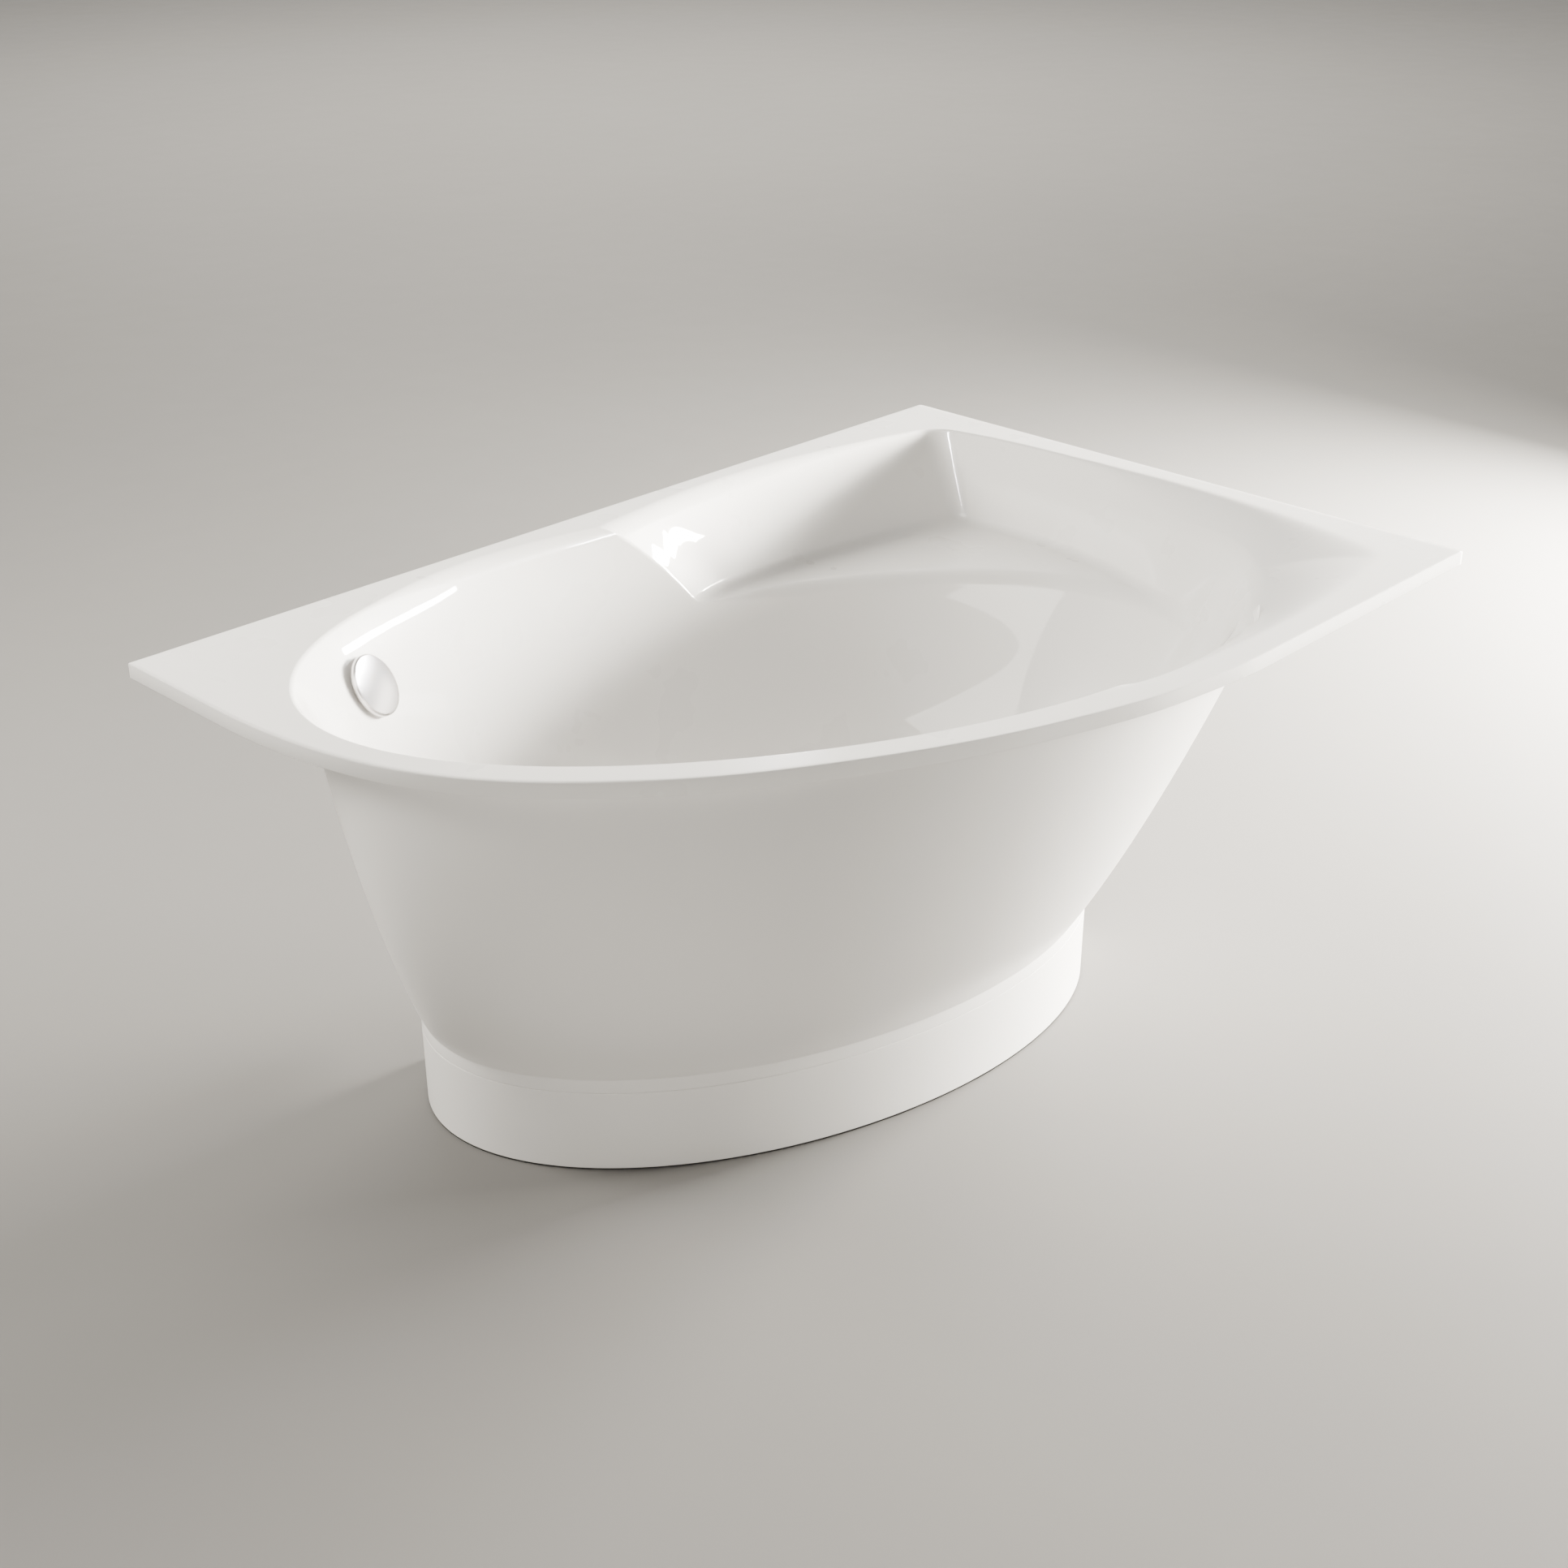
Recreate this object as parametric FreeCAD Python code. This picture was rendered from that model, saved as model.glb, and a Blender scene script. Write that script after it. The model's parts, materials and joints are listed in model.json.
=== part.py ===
import FreeCAD, Part
import math, os

# Corner bathtub: a one-piece basin shell with a flat rim, a lower corner ledge and a sloping
# head-end shoulder, behind a flared front skirt that stands on an oval plinth.
# Frame: origin under the centre of the 1500 x 1000 rim, on the floor; +X along the long
# wall side, +Y towards the long wall, +Z up. Millimetres.

# ---------------------------------------------------------------- driving dimensions
LENGTH, WIDTH, HEIGHT = 1500.0, 1000.0, 620.0
DECK_T, APRON_T, APRON_H = 6.0, 5.0, 21.0
SHELL_T = 5.0
FLOOR_Z = 190.0                  # inner floor of the basin
FLOOR_R = 80.0                   # round between wall and floor
LEDGE_Z = 485.0                  # corner ledge
SKIRT_T, SKIRT_TOP, FLARE_FOOT, SEAM_Z = 3.5, 598.5, 137.54, 118.0
PLINTH_C, PLINTH_A, PLINTH_B, PLINTH_TH = (-87.4, 40.2), 507.3, 299.3, math.radians(-15.6)
SEAL_H = 2.5
SERVICE_P, SERVICE_SLOPE = (-470.0, 302.0), -0.4907   # plane behind which the skirt is open
DRAIN = (-380.0, 100.0)
DRAIN_HOLE_R, OVER_HOLE_R = 26.0, 25.0
OVER_P = (-493.5, 358.7, 546.8)                       # overflow centre on the basin wall
OVER_N = (0.388, -0.778, 0.494)                       # its axis, into the basin
KNOB_R, KNOB_PROUD = 42.5, 12.0
PLUG_LIFT, ROCKER_ARM, ROCKER_DEG = 7.5, 20.0, 22.0
FEET = [(-230.0, -125.0), (-230.0, 205.0), (170.0, -150.0), (170.0, 125.0)]
BOARD_Z0, BOARD_Z1 = 172.0, 185.0
RAIL_H, RAIL_W, RAIL_T = 30.0, 34.0, 3.0
STUD_R, PAD_R = 6.0, 30.0
OUTLET_R, OUTLET_Z = 20.0, 105.0

V = FreeCAD.Vector
os.makedirs("parts", exist_ok=True)
nodes = {}


def norm(v):
    l = math.sqrt(sum(c * c for c in v))
    return tuple(c / l for c in v)


# ---------------------------------------------------------------- sections
# oval section: centre, half axes, turn, and three shape terms, by depth under the rim
OVAL = [
    (0.0, (-30.03, 17.90, 686.47, 400.55, -0.312, 0.0093, -0.0190, -0.0358)),
    (135.0, (-40.38, 8.20, 628.34, 385.60, -0.188, 0.0095, -0.0107, 0.0065)),
    (280.0, (-85.0, -3.0, 545.0, 322.0, -0.240, 0.0600, 0.0100, 0.0)),
    (430.0, (-105.0, 20.0, 450.0, 245.0, -0.260, 0.0200, 0.0, 0.0)),
]


def oval_at(d):
    out = [0.0] * 8
    for i, (di, pi) in enumerate(OVAL):
        l = 1.0
        for j, (dj, _) in enumerate(OVAL):
            if i != j:
                l *= (d - dj) / (di - dj)
        out = [o + l * p for o, p in zip(out, pi)]
    return out


def oval_pts(p, grow, z, n=48):
    cx, cy, a, b, th, e1, e2, e3 = p
    a, b = a + grow, b + grow
    pts = []
    for k in range(n):
        t = 2 * math.pi * k / n
        ct, st = math.cos(t), math.sin(t)
        bb = b * (1 + e1 * ct + e2 * st + e3 * 2 * st * ct)
        pts.append(V(cx + a * ct * math.cos(th) - bb * st * math.sin(th),
                     cy + a * ct * math.sin(th) + bb * st * math.cos(th), z))
    return pts


def closed_curve(pts):
    c = Part.BSplineCurve()
    c.interpolate(Points=pts, PeriodicFlag=True)
    return Part.Wire([c.toShape()])


def open_edge(pts):
    c = Part.BSplineCurve()
    c.interpolate(Points=pts)
    return c.toShape()


def loft(wires, ruled=False):
    s = Part.makeLoft(wires, True, ruled, False)
    if s.Volume < 0:
        s.reverse()
    return s


def basin_solid(grow, top, floor_z, r):
    """Basin as a solid, from the height top down to floor_z, with its floor edge rounded."""
    wires = []
    depth_floor = HEIGHT - floor_z
    zs = [top] + [z for z in (575.0, 530.0, 485.0, 440.0, 390.0, 340.0, 290.0, 240.0) if z < top - 10] + [floor_z]
    for z in zs:
        d = HEIGHT - z
        p = oval_at(min(d, 430.0))
        if d > 430.0:
            q = oval_at(430.0)
            w = oval_at(420.0)
            p = [a + (a - b) * (d - 430.0) / 10.0 for a, b in zip(q, w)]
        if d < 0:
            q, w = oval_at(0.0), oval_at(10.0)
            p = [a + (b - a) * d / 10.0 for a, b in zip(q, w)]
        wires.append(closed_curve(oval_pts(p, grow, z)))
    s = loft(wires)
    low = [e for e in s.Edges if e.BoundBox.ZMax < floor_z + 0.01]
    try:
        f = s.makeFillet(r, low)
        if f.isValid() and f.Volume > 0:
            return f
    except Exception:
        pass
    print("basin fillet left out")
    return s


# ---------------------------------------------------------------- rim outline
FRONT = [(-750, 300), (-739, 155), (-700.5, 18), (-652, -67), (-551, -179.5), (-452, -260), (-352, -321),
         (-250, -374), (-150, -417), (-46, -452), (53, -478.5), (145, -492), (245, -500)]


def rim_wire(inset, z):
    x0, x1, y0, y1 = -750 + inset, 750 - inset, -500 + inset, 500 - inset
    pts = []
    for k, (x, y) in enumerate(FRONT):
        a = FRONT[max(k - 1, 0)]
        b = FRONT[min(k + 1, len(FRONT) - 1)]
        tx, ty = b[0] - a[0], b[1] - a[1]
        if k == 0:
            tx, ty = 0, -1
        if k == len(FRONT) - 1:
            tx, ty = 1, 0
        l = math.hypot(tx, ty)
        pts.append(V(x - ty / l * inset, y + tx / l * inset, z))
    c = Part.BSplineCurve()
    c.interpolate(Points=pts, InitialTangent=V(0, -1, 0), FinalTangent=V(1, 0, 0))
    e = [Part.LineSegment(V(x0, y1, z), pts[0]).toShape(), c.toShape(),
         Part.LineSegment(pts[-1], V(x1, y0, z)).toShape(),
         Part.LineSegment(V(x1, y0, z), V(x1, y1, z)).toShape(),
         Part.LineSegment(V(x1, y1, z), V(x0, y1, z)).toShape()]
    return Part.Wire(e)


def slab(inset, z0, z1):
    return Part.Face(rim_wire(inset, z0)).extrude(V(0, 0, z1 - z0))


# ---------------------------------------------------------------- corner recess above the ledge
def back_y(x, lam):
    x0 = -560 - 80 * (1 - lam)
    return ((1 - lam) * (-46 - 0.00035 * (x + 480) ** 2) + lam * (-114 - 0.0003 * (x + 560) ** 2)
            - 0.00205 * max(lam, 0) * max(0.0, x0 - x) ** 2)


def right_x(y, lam):
    return ((1 - lam) * (-50 - 0.0006 * (y + 330) ** 2) + lam * (-90 - 0.0007 * (y + 300) ** 2)
            - 0.003 * max(0.0, -640 - y) ** 2)


def resample(poly, n):
    d = [0.0]
    for a, b in zip(poly, poly[1:]):
        d.append(d[-1] + math.hypot(b[0] - a[0], b[1] - a[1]))
    out, k = [], 0
    for i in range(n):
        s = d[-1] * i / (n - 1)
        while k < len(d) - 2 and d[k + 1] < s:
            k += 1
        f = (s - d[k]) / max(d[k + 1] - d[k], 1e-9)
        out.append((poly[k][0] + f * (poly[k + 1][0] - poly[k][0]), poly[k][1] + f * (poly[k + 1][1] - poly[k][1])))
    return out


def recess_line(lam, out):
    """Plan line of the recess wall from its left end round the corner to its front end."""
    x, y = -100.0, -110.0
    for _ in range(40):
        y = back_y(x, lam)
        x = right_x(y, lam)
    cx, cy = x, y
    xl = -800 + 40 * min(max(lam, 0), 1)
    back = [(xl + (cx - xl) * k / 160, back_y(xl + (cx - xl) * k / 160, lam)) for k in range(161)]
    right = [(right_x(cy + (-760 - cy) * k / 160, lam), cy + (-760 - cy) * k / 160) for k in range(161)]
    r = 25 - 7 * lam
    b2 = [p for p in back if math.hypot(p[0] - cx, p[1] - cy) > r]
    r2 = [p for p in right if math.hypot(p[0] - cx, p[1] - cy) > r]
    arc = []
    w = 0.7071
    for k in range(1, 8):
        t = k / 8
        n0, n1, n2 = (1 - t) ** 2, 2 * w * t * (1 - t), t * t
        s = n0 + n1 + n2
        arc.append(((n0 * b2[-1][0] + n1 * cx + n2 * r2[0][0]) / s, (n0 * b2[-1][1] + n1 * cy + n2 * r2[0][1]) / s))
    A, B = resample(b2, 17), resample(r2, 15)
    line = A + arc[1:-1:2] + B
    if out:
        res = []
        for k, p in enumerate(line):
            a, b = line[max(k - 1, 0)], line[min(k + 1, len(line) - 1)]
            tx, ty = b[0] - a[0], b[1] - a[1]
            l = math.hypot(tx, ty)
            res.append((p[0] - ty / l * out, p[1] + tx / l * out))
        line = res
    return line


def recess_solid(out, top, bottom, r):
    wires = []
    for z in (top, 575.0, 530.0, bottom):
        lam = (HEIGHT - z) / 135.0
        line = recess_line(lam, out)
        pts = [V(x + 750, y + 500, z) for x, y in line]
        inner = [V(450, -200, z), V(5, 250, z)]
        e = [open_edge(pts), Part.LineSegment(pts[-1], inner[0]).toShape(),
             Part.LineSegment(inner[0], inner[1]).toShape(), Part.LineSegment(inner[1], pts[0]).toShape()]
        wires.append(Part.Wire(e))
    s = loft(wires)
    if r:
        low = [e for e in s.Edges if e.BoundBox.ZMax < bottom + 0.01 and e.Length > 900]
        try:
            f = s.makeFillet(r, low)
            if f.isValid():
                return f
        except Exception:
            pass
        print("recess fillet left out")
    return s


# ---------------------------------------------------------------- head-end shoulder
SHOULDER = [((-56, -325), (-68, -328)), ((-50, -370), (-61, -374)), ((-45, -420), (-62, -425)), ((-38, -520), (-75, -520)), ((-38, -620), (-98, -610)),
            ((-42, -700), (-125, -680)), ((-52, -780), (-160, -735)), ((-66, -850), (-200, -780)), ((-84, -905), (-240, -822)),
            ((-105, -928), (-270, -848)), ((-150, -938), (-305, -870)), ((-220, -949), (-350, -890)), ((-300, -957), (-400, -903)),
            ((-380, -961), (-455, -910)), ((-460, -961), (-505, -912)), ((-540, -957), (-560, -915)), ((-610, -950), (-620, -922)),
            ((-680, -940), (-690, -915))]


def shoulder_solid(out, drop, top_k):
    """Sloping shoulder: rim line at the top, head edge 28 mm lower, carried on down inside the basin."""
    wires = []
    for k in ((top_k, 1.0, 2.0) if top_k == 0.0 else (top_k, 0.0, 1.0, 2.0)):
        z = HEIGHT - 28 * k - drop
        line = [(r[0] + (h[0] - r[0]) * k, r[1] + (h[1] - r[1]) * k) for r, h in SHOULDER]
        if out:
            res = []
            for i, p in enumerate(line):
                a, b = line[max(i - 1, 0)], line[min(i + 1, len(line) - 1)]
                tx, ty = b[0] - a[0], b[1] - a[1]
                l = math.hypot(tx, ty)
                res.append((p[0] - ty / l * out, p[1] + tx / l * out))
            line = res
        pts = [V(x + 750, y + 500, z) for x, y in line]
        inner = [V(150, -300, z), V(450, 100, z)]
        e = [open_edge(pts), Part.LineSegment(pts[-1], inner[0]).toShape(),
             Part.LineSegment(inner[0], inner[1]).toShape(), Part.LineSegment(inner[1], pts[0]).toShape()]
        wires.append(Part.Wire(e))
    return loft(wires)


def cyl(r, p, axis, length):
    return Part.makeCylinder(r, length, V(*p), V(*axis))


def at(p, n, h):
    return tuple(a + b * h for a, b in zip(p, n))


def biggest(shape):
    return max(shape.Solids, key=lambda s: s.Volume)


def put(name, shape):
    solids = shape.Solids
    ok = all(s.isValid() and s.isClosed() for s in solids) and len(solids) > 0
    print("%-22s solids %2d  volume %10.0f mm3  %s  z %.1f..%.1f" % (
        name, len(solids), shape.Volume, "ok" if ok else "BAD", shape.BoundBox.ZMin, shape.BoundBox.ZMax))
    out = solids[0] if len(solids) == 1 else Part.Compound(solids)
    nodes[name] = out
    out.exportStep("parts/%s.step" % name)


ON = norm(OVER_N)

# ---------------------------------------------------------------- tub shell
cav_basin = basin_solid(0.0, HEIGHT + 4, FLOOR_Z, FLOOR_R)
out_basin = basin_solid(SHELL_T, HEIGHT - 3, FLOOR_Z - SHELL_T, FLOOR_R + SHELL_T)
cav_recess = recess_solid(0.0, HEIGHT + 4, LEDGE_Z, 12.0)
out_recess = recess_solid(SHELL_T + 0.5, HEIGHT - 3, LEDGE_Z - SHELL_T, 14.0)
cav_should = shoulder_solid(0.0, 0.0, -0.15)
out_should = shoulder_solid(SHELL_T, 6.0, 0.0)

deck = slab(0, HEIGHT - DECK_T, HEIGHT)
apron = slab(0, HEIGHT - APRON_H, HEIGHT - DECK_T + 1).cut(slab(APRON_T, HEIGHT - APRON_H - 1, HEIGHT - DECK_T + 2))
body = deck.fuse([apron, out_basin, out_recess, out_should])
print("outer", body.isValid(), len(body.Solids), round(body.Volume))
cav = cav_basin.fuse([cav_recess, cav_should])
print("cavity", cav.isValid(), len(cav.Solids), round(cav.Volume))
tub = body.cut(cav)
print("tub", tub.isValid(), len(tub.Solids), [round(s.Volume) for s in tub.Solids])
tub = biggest(tub)
tub = tub.cut([cyl(DRAIN_HOLE_R, (DRAIN[0], DRAIN[1], FLOOR_Z - 20), (0, 0, 1), 40),
               cyl(OVER_HOLE_R, at(OVER_P, ON, -20), ON, 40)])
tub = biggest(tub)
put("tub_shell", tub)

# ---------------------------------------------------------------- front skirt
SK_TOP = (-57.638, 2.439, 660.324, 420.63, -0.261)
SK_LOW = (PLINTH_C[0], PLINTH_C[1], PLINTH_A, PLINTH_B, PLINTH_TH)
SK_BULGE = (-47.766, -39.892, -14.898, -0.68, 0.0)


def skirt_params(z):
    s = (599.0 - z) / (599.0 - FLARE_FOOT)
    s = min(s, 1.0)
    w = 4 * s * (1 - s)
    return [a * (1 - s) + b * s + c * w for a, b, c in zip(SK_TOP, SK_LOW, SK_BULGE)] + [0.158 * (1 - s)]


def skirt_point(z, t, inset=0.0):
    cx, cy, a, b, th, e = skirt_params(z)
    a, b = a - inset, b - inset
    ct, st = math.cos(t), math.sin(t)
    bb = b * (1 + e * ct)
    return (cx + a * ct * math.cos(th) - bb * st * math.sin(th), cy + a * ct * math.sin(th) + bb * st * math.cos(th))


def skirt_curve(z, inset, n=56):
    return closed_curve([V(*skirt_point(z, 2 * math.pi * k / n, inset), z) for k in range(n)])


def skirt_loft(inset, top):
    zs = [top, 560.0, 515.0, 465.0, 410.0, 355.0, 300.0, 245.0, 190.0, FLARE_FOOT]
    return loft([skirt_curve(z, inset) for z in zs])


def collar(inset, z0, z1):
    return Part.Face(skirt_curve(z0, inset) if z0 <= FLARE_FOOT else None).extrude(V(0, 0, z1 - z0))


def ring(in0, in1, z0, z1):
    """Oval ring on the plinth's plan, between two insets."""
    return collar(in0, z0, z1).cut(collar(in1, z0 - 1, z1 + 1))


def behind(gap=0.0):
    """Everything behind the service plane, shifted back by gap."""
    l = math.hypot(1, SERVICE_SLOPE)
    dx, dy = 1 / l, SERVICE_SLOPE / l
    nx, ny = -dy, dx
    px, py = SERVICE_P[0] + nx * gap, SERVICE_P[1] + ny * gap
    c = [(-1600, 0), (1600, 0), (1600, 1500), (-1600, 1500)]
    pts = [V(px + dx * u + nx * v, py + dy * u + ny * v, -20) for u, v in c]
    return Part.Face(Part.makePolygon(pts + [pts[0]])).extrude(V(0, 0, 700))


def parts_over(shape, vol):
    s = [x for x in shape.Solids if x.Volume > vol]
    return s[0] if len(s) == 1 else Part.Compound(s)


rear = behind()
fat = basin_solid(SHELL_T + 1.5, HEIGHT - 2, FLOOR_Z - SHELL_T - 1.5, FLOOR_R + SHELL_T)
skirt_up = skirt_loft(0.0, SKIRT_TOP).cut(skirt_loft(SKIRT_T, SKIRT_TOP))
skirt = skirt_up.fuse(ring(0.0, SKIRT_T, SEAM_Z, FLARE_FOOT)).cut(rear).cut(fat).cut(out_should)
skirt = biggest(skirt)
put("front_skirt", skirt)
plinth = biggest(ring(0.0, SKIRT_T, SEAL_H, SEAM_Z).cut(rear))
put("plinth_ring", plinth)
put("plinth_foot_seal", biggest(ring(0.8, 3.0, 0.0, SEAL_H).cut(rear)))


def oriented_box(p, out, u0, u1, half, z0, z1):
    """Box standing at plan point p: out is its outward direction, from u0 to u1 along it."""
    tx, ty = -out[1], out[0]
    c = [(u0, -half), (u1, -half), (u1, half), (u0, half)]
    pts = [V(p[0] + out[0] * u + tx * v, p[1] + out[1] * u + ty * v, z0) for u, v in c]
    return Part.Face(Part.makePolygon(pts + [pts[0]])).extrude(V(0, 0, z1 - z0))


def outward(z, t, inset):
    a, b = skirt_point(z, t - 0.01, inset), skirt_point(z, t + 0.01, inset)
    l = math.hypot(b[0] - a[0], b[1] - a[1])
    return ((b[1] - a[1]) / l, -(b[0] - a[0]) / l)


inner_space = skirt_loft(SKIRT_T, HEIGHT - DECK_T)
clips, plates, rivets = [], [], []
for deg in (196.0, 224.0, 252.0, 280.0, 306.0):
    t = math.radians(deg)
    p, o = skirt_point(SKIRT_TOP, t, SKIRT_T), outward(SKIRT_TOP, t, SKIRT_T)
    leg = oriented_box(p, o, -12, 20, 15, 578, HEIGHT - DECK_T)
    tab = oriented_box(p, o, -20, 20, 15, 608, HEIGHT - DECK_T)
    clips.append(biggest(leg.fuse(tab).common(inner_space).cut(body)))
    q, o2 = skirt_point(110.0, t, SKIRT_T), outward(110.0, t, SKIRT_T)
    plates.append(biggest(ring(SKIRT_T, SKIRT_T + 3.0, 96.0, 136.0).common(oriented_box(q, o2, -12, 8, 20, 90, 140))))
put("skirt_clips", Part.Compound(clips))
put("plinth_clips", Part.Compound(plates))

# ---------------------------------------------------------------- bottom board, rails and feet
ell = Part.Ellipse(V(-105, 20, BOARD_Z0), 380, 175).toShape()
ell.rotate(V(-105, 20, BOARD_Z0), V(0, 0, 1), math.degrees(-0.26))
board = Part.Face(Part.Wire([ell])).extrude(V(0, 0, BOARD_Z1 - BOARD_Z0))
board = board.cut(cyl(45, (DRAIN[0], DRAIN[1], BOARD_Z0 - 1), (0, 0, 1), 20))
DS = (-0.3, 0.954, 0.0)                                # the overflow branch leaves the waste this way, under a notch in the board
board = board.cut(oriented_box(DRAIN, (DS[0] / math.hypot(*DS), DS[1] / math.hypot(*DS)), 0, 80, 24, BOARD_Z0 - 1, BOARD_Z1 + 1))
SCREWS = [(-230.0, -40.0), (-230.0, 90.0), (170.0, -90.0), (170.0, 5.0)]
board = board.cut([cyl(2.5, (x, y, BOARD_Z0 - 1), (0, 0, 1), 11) for x, y in SCREWS])
put("bottom_board", board)


def rail(x, y0, y1):
    a = Part.makeBox(RAIL_W, y1 - y0, RAIL_H, V(x - RAIL_W / 2, y0, BOARD_Z0 - RAIL_H))
    b = Part.makeBox(RAIL_W - 2 * RAIL_T, y1 - y0 + 2, RAIL_H - RAIL_T, V(x - RAIL_W / 2 + RAIL_T, y0 - 1, BOARD_Z0 - RAIL_H))
    a = a.cut(b)
    a = a.cut([cyl(STUD_R + 1, (fx, fy, BOARD_Z0 - 5), (0, 0, 1), 6) for fx, fy in FEET if fx == x])
    return a.cut([cyl(2.5, (sx, sy, BOARD_Z0 - 5), (0, 0, 1), 6) for sx, sy in SCREWS if sx == x])


put("foot_end_rail", rail(-230.0, -160.0, 240.0))
put("head_end_rail", rail(170.0, -185.0, 160.0))
web = BOARD_Z0 - RAIL_T
put("rail_screws", Part.Compound([cyl(5.0, (x, y, web - 3.5), (0, 0, 1), 3.5).fuse(cyl(2.5, (x, y, web - 3.5), (0, 0, 1), 16)) for x, y in SCREWS]))


def hexagon(x, y, z, af, h):
    r = af / math.sqrt(3)
    pts = [V(x + r * math.cos(math.radians(60 * k)), y + r * math.sin(math.radians(60 * k)), z) for k in range(7)]
    return Part.Face(Part.makePolygon(pts)).extrude(V(0, 0, h))


nuts, locks = [], []
for x, y in FEET:
    hole = cyl(STUD_R + 0.05, (x, y, 130), (0, 0, 1), 50)
    nuts.append(Part.makeBox(24, 24, 12, V(x - 12, y - 12, web - 12)).cut(hole))
    locks.append(hexagon(x, y, web - 20, 19, 8).cut(hole))
put("leg_nuts", Part.Compound(nuts))
put("foot_lock_nuts", Part.Compound(locks))
for k, (x, y) in enumerate(FEET, 1):
    put("leg_stud_%d" % k, cyl(STUD_R, (x, y, 12), (0, 0, 1), BOARD_Z0 - 1.5 - 12))
    pad = cyl(PAD_R, (x, y, 0), (0, 0, 1), 8).fuse(Part.makeCone(PAD_R - 4, 13, 6, V(x, y, 8))).fuse(cyl(13, (x, y, 8), (0, 0, 1), 12))
    put("foot_pad_%d" % k, pad.cut(cyl(STUD_R + 0.05, (x, y, 12), (0, 0, 1), 20)))

# ---------------------------------------------------------------- rim battens and wall brackets
bat_z0, bat_z1 = 596.2, HEIGHT - DECK_T
BR_LONG = [-420.0, 380.0]
BR_SHORT = 60.0
batl = Part.makeBox(1330, 28, bat_z1 - bat_z0, V(-690, 466.7, bat_z0))
bats = Part.makeBox(22.7, 870, bat_z1 - bat_z0, V(722, -440, bat_z0))
heads, shanks = [], []
for x in BR_LONG:
    for dx in (-15, 15):
        heads.append((x + dx, 481.0))
for dy in (-15, 15):
    heads.append((733.0, BR_SHORT + dy))
for x, y in heads:
    shanks.append(cyl(2.25, (x, y, 591.2), (0, 0, 1), 17))
batl, bats = batl.cut(shanks[:4]), bats.cut(shanks[4:])
print("batten clearance", batl.common(tub).Volume, bats.common(tub).Volume)
put("rim_batten_long", batl)
put("rim_batten_short", bats)
for name, x in (("wall_bracket_left", BR_LONG[0]), ("wall_bracket_right", BR_LONG[1])):
    b = Part.makeBox(56, 2.5, 50, V(x - 28, 497.5, 546.2)).fuse(Part.makeBox(56, 32, 2.5, V(x - 28, 468, 593.7)))
    b = b.cut([cyl(3.25, (x + dx, 496, 565), (0, 1, 0), 6) for dx in (-15, 15)]).cut(shanks)
    put(name, b)
b = Part.makeBox(2.5, 56, 50, V(747.5, BR_SHORT - 28, 546.2)).fuse(Part.makeBox(28, 56, 2.5, V(722, BR_SHORT - 28, 593.7)))
b = b.cut([cyl(3.25, (746, BR_SHORT + dy, 565), (1, 0, 0), 6) for dy in (-15, 15)]).cut(shanks)
put("wall_bracket_short", b)
put("bracket_screws", Part.Compound([cyl(4.5, (x, y, 591.2), (0, 0, 1), 2.5).fuse(s) for (x, y), s in zip(heads, shanks)]))

# ---------------------------------------------------------------- overflow with its turning cap
P = OVER_P
fr = cyl(34, at(P, ON, -2), ON, 7).fuse(cyl(24.9, at(P, ON, -4), ON, 6)).cut(cyl(21.5, at(P, ON, -5), ON, 12)).cut(tub)
fr = biggest(fr)
arms = []
ex = norm((-ON[1], ON[0], 0.0))
ey = (ON[1] * ex[2] - ON[2] * ex[1], ON[2] * ex[0] - ON[0] * ex[2], ON[0] * ex[1] - ON[1] * ex[0])
for k in range(3):
    a = math.radians(90 + 120 * k)
    d = tuple(ex[i] * math.cos(a) + ey[i] * math.sin(a) for i in range(3))
    arms.append(Part.makeCylinder(2.0, 24, V(*at(P, ON, 1.5)), V(*d)))
hub = cyl(9, at(P, ON, -1.0), ON, 5.0)
fr = fr.fuse(arms + [hub]).cut(cyl(4.05, at(P, ON, -10), ON, 20)).cut(tub)
put("overflow_face_ring", biggest(fr))
put("overflow_spindle", cyl(4.0, at(P, ON, -30), ON, 38.5))
knob = cyl(KNOB_R, at(P, ON, 5.2), ON, 9.3)
knob = knob.common(Part.makeSphere(362.5, V(*at(P, ON, 14.5 - 362.5))))
knob = knob.cut(cyl(38.5, at(P, ON, 5.0), ON, 3.5))
knob = knob.fuse(cyl(9.0, at(P, ON, 5.2), ON, 4.0)).cut(cyl(4.04, at(P, ON, -30), ON, 38.5))
front = [e for e in knob.Edges if e.Length > 200 and abs(e.CenterOfMass.sub(V(*at(P, ON, 12.0))).Length) < 1.0]
try:
    k2 = knob.makeFillet(1.5, front)
    if k2.isValid():
        knob = k2
except Exception:
    print("knob edge left sharp")
put("overflow_knob", knob)
gas = cyl(33, at(P, ON, -13), ON, 12).cut(cyl(25.5, at(P, ON, -14), ON, 16)).cut(tub)
gas = min(gas.Solids, key=lambda s: s.CenterOfMass.sub(V(*at(P, ON, -9))).Length)
put("overflow_gasket", gas)
ce = at(P, ON, -31)
stub_end = 491.5
el = cyl(33, at(P, ON, -17), ON, 4).fuse(cyl(26, at(P, ON, -45), ON, 30)).fuse(cyl(17, (ce[0], ce[1], stub_end), (0, 0, 1), ce[2] - stub_end))
gl = norm((0.63, 0.31, -0.71))
gp = at(P, ON, -36)
el = el.fuse(cyl(5.5, gp, gl, 38))
el = el.cut(cyl(22, at(P, ON, -41), ON, 32)).cut(cyl(13.5, (ce[0], ce[1], stub_end - 1), (0, 0, 1), ce[2] - stub_end))
el = el.cut(cyl(1.5, gp, gl, 39))
put("overflow_elbow", biggest(el))


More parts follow.
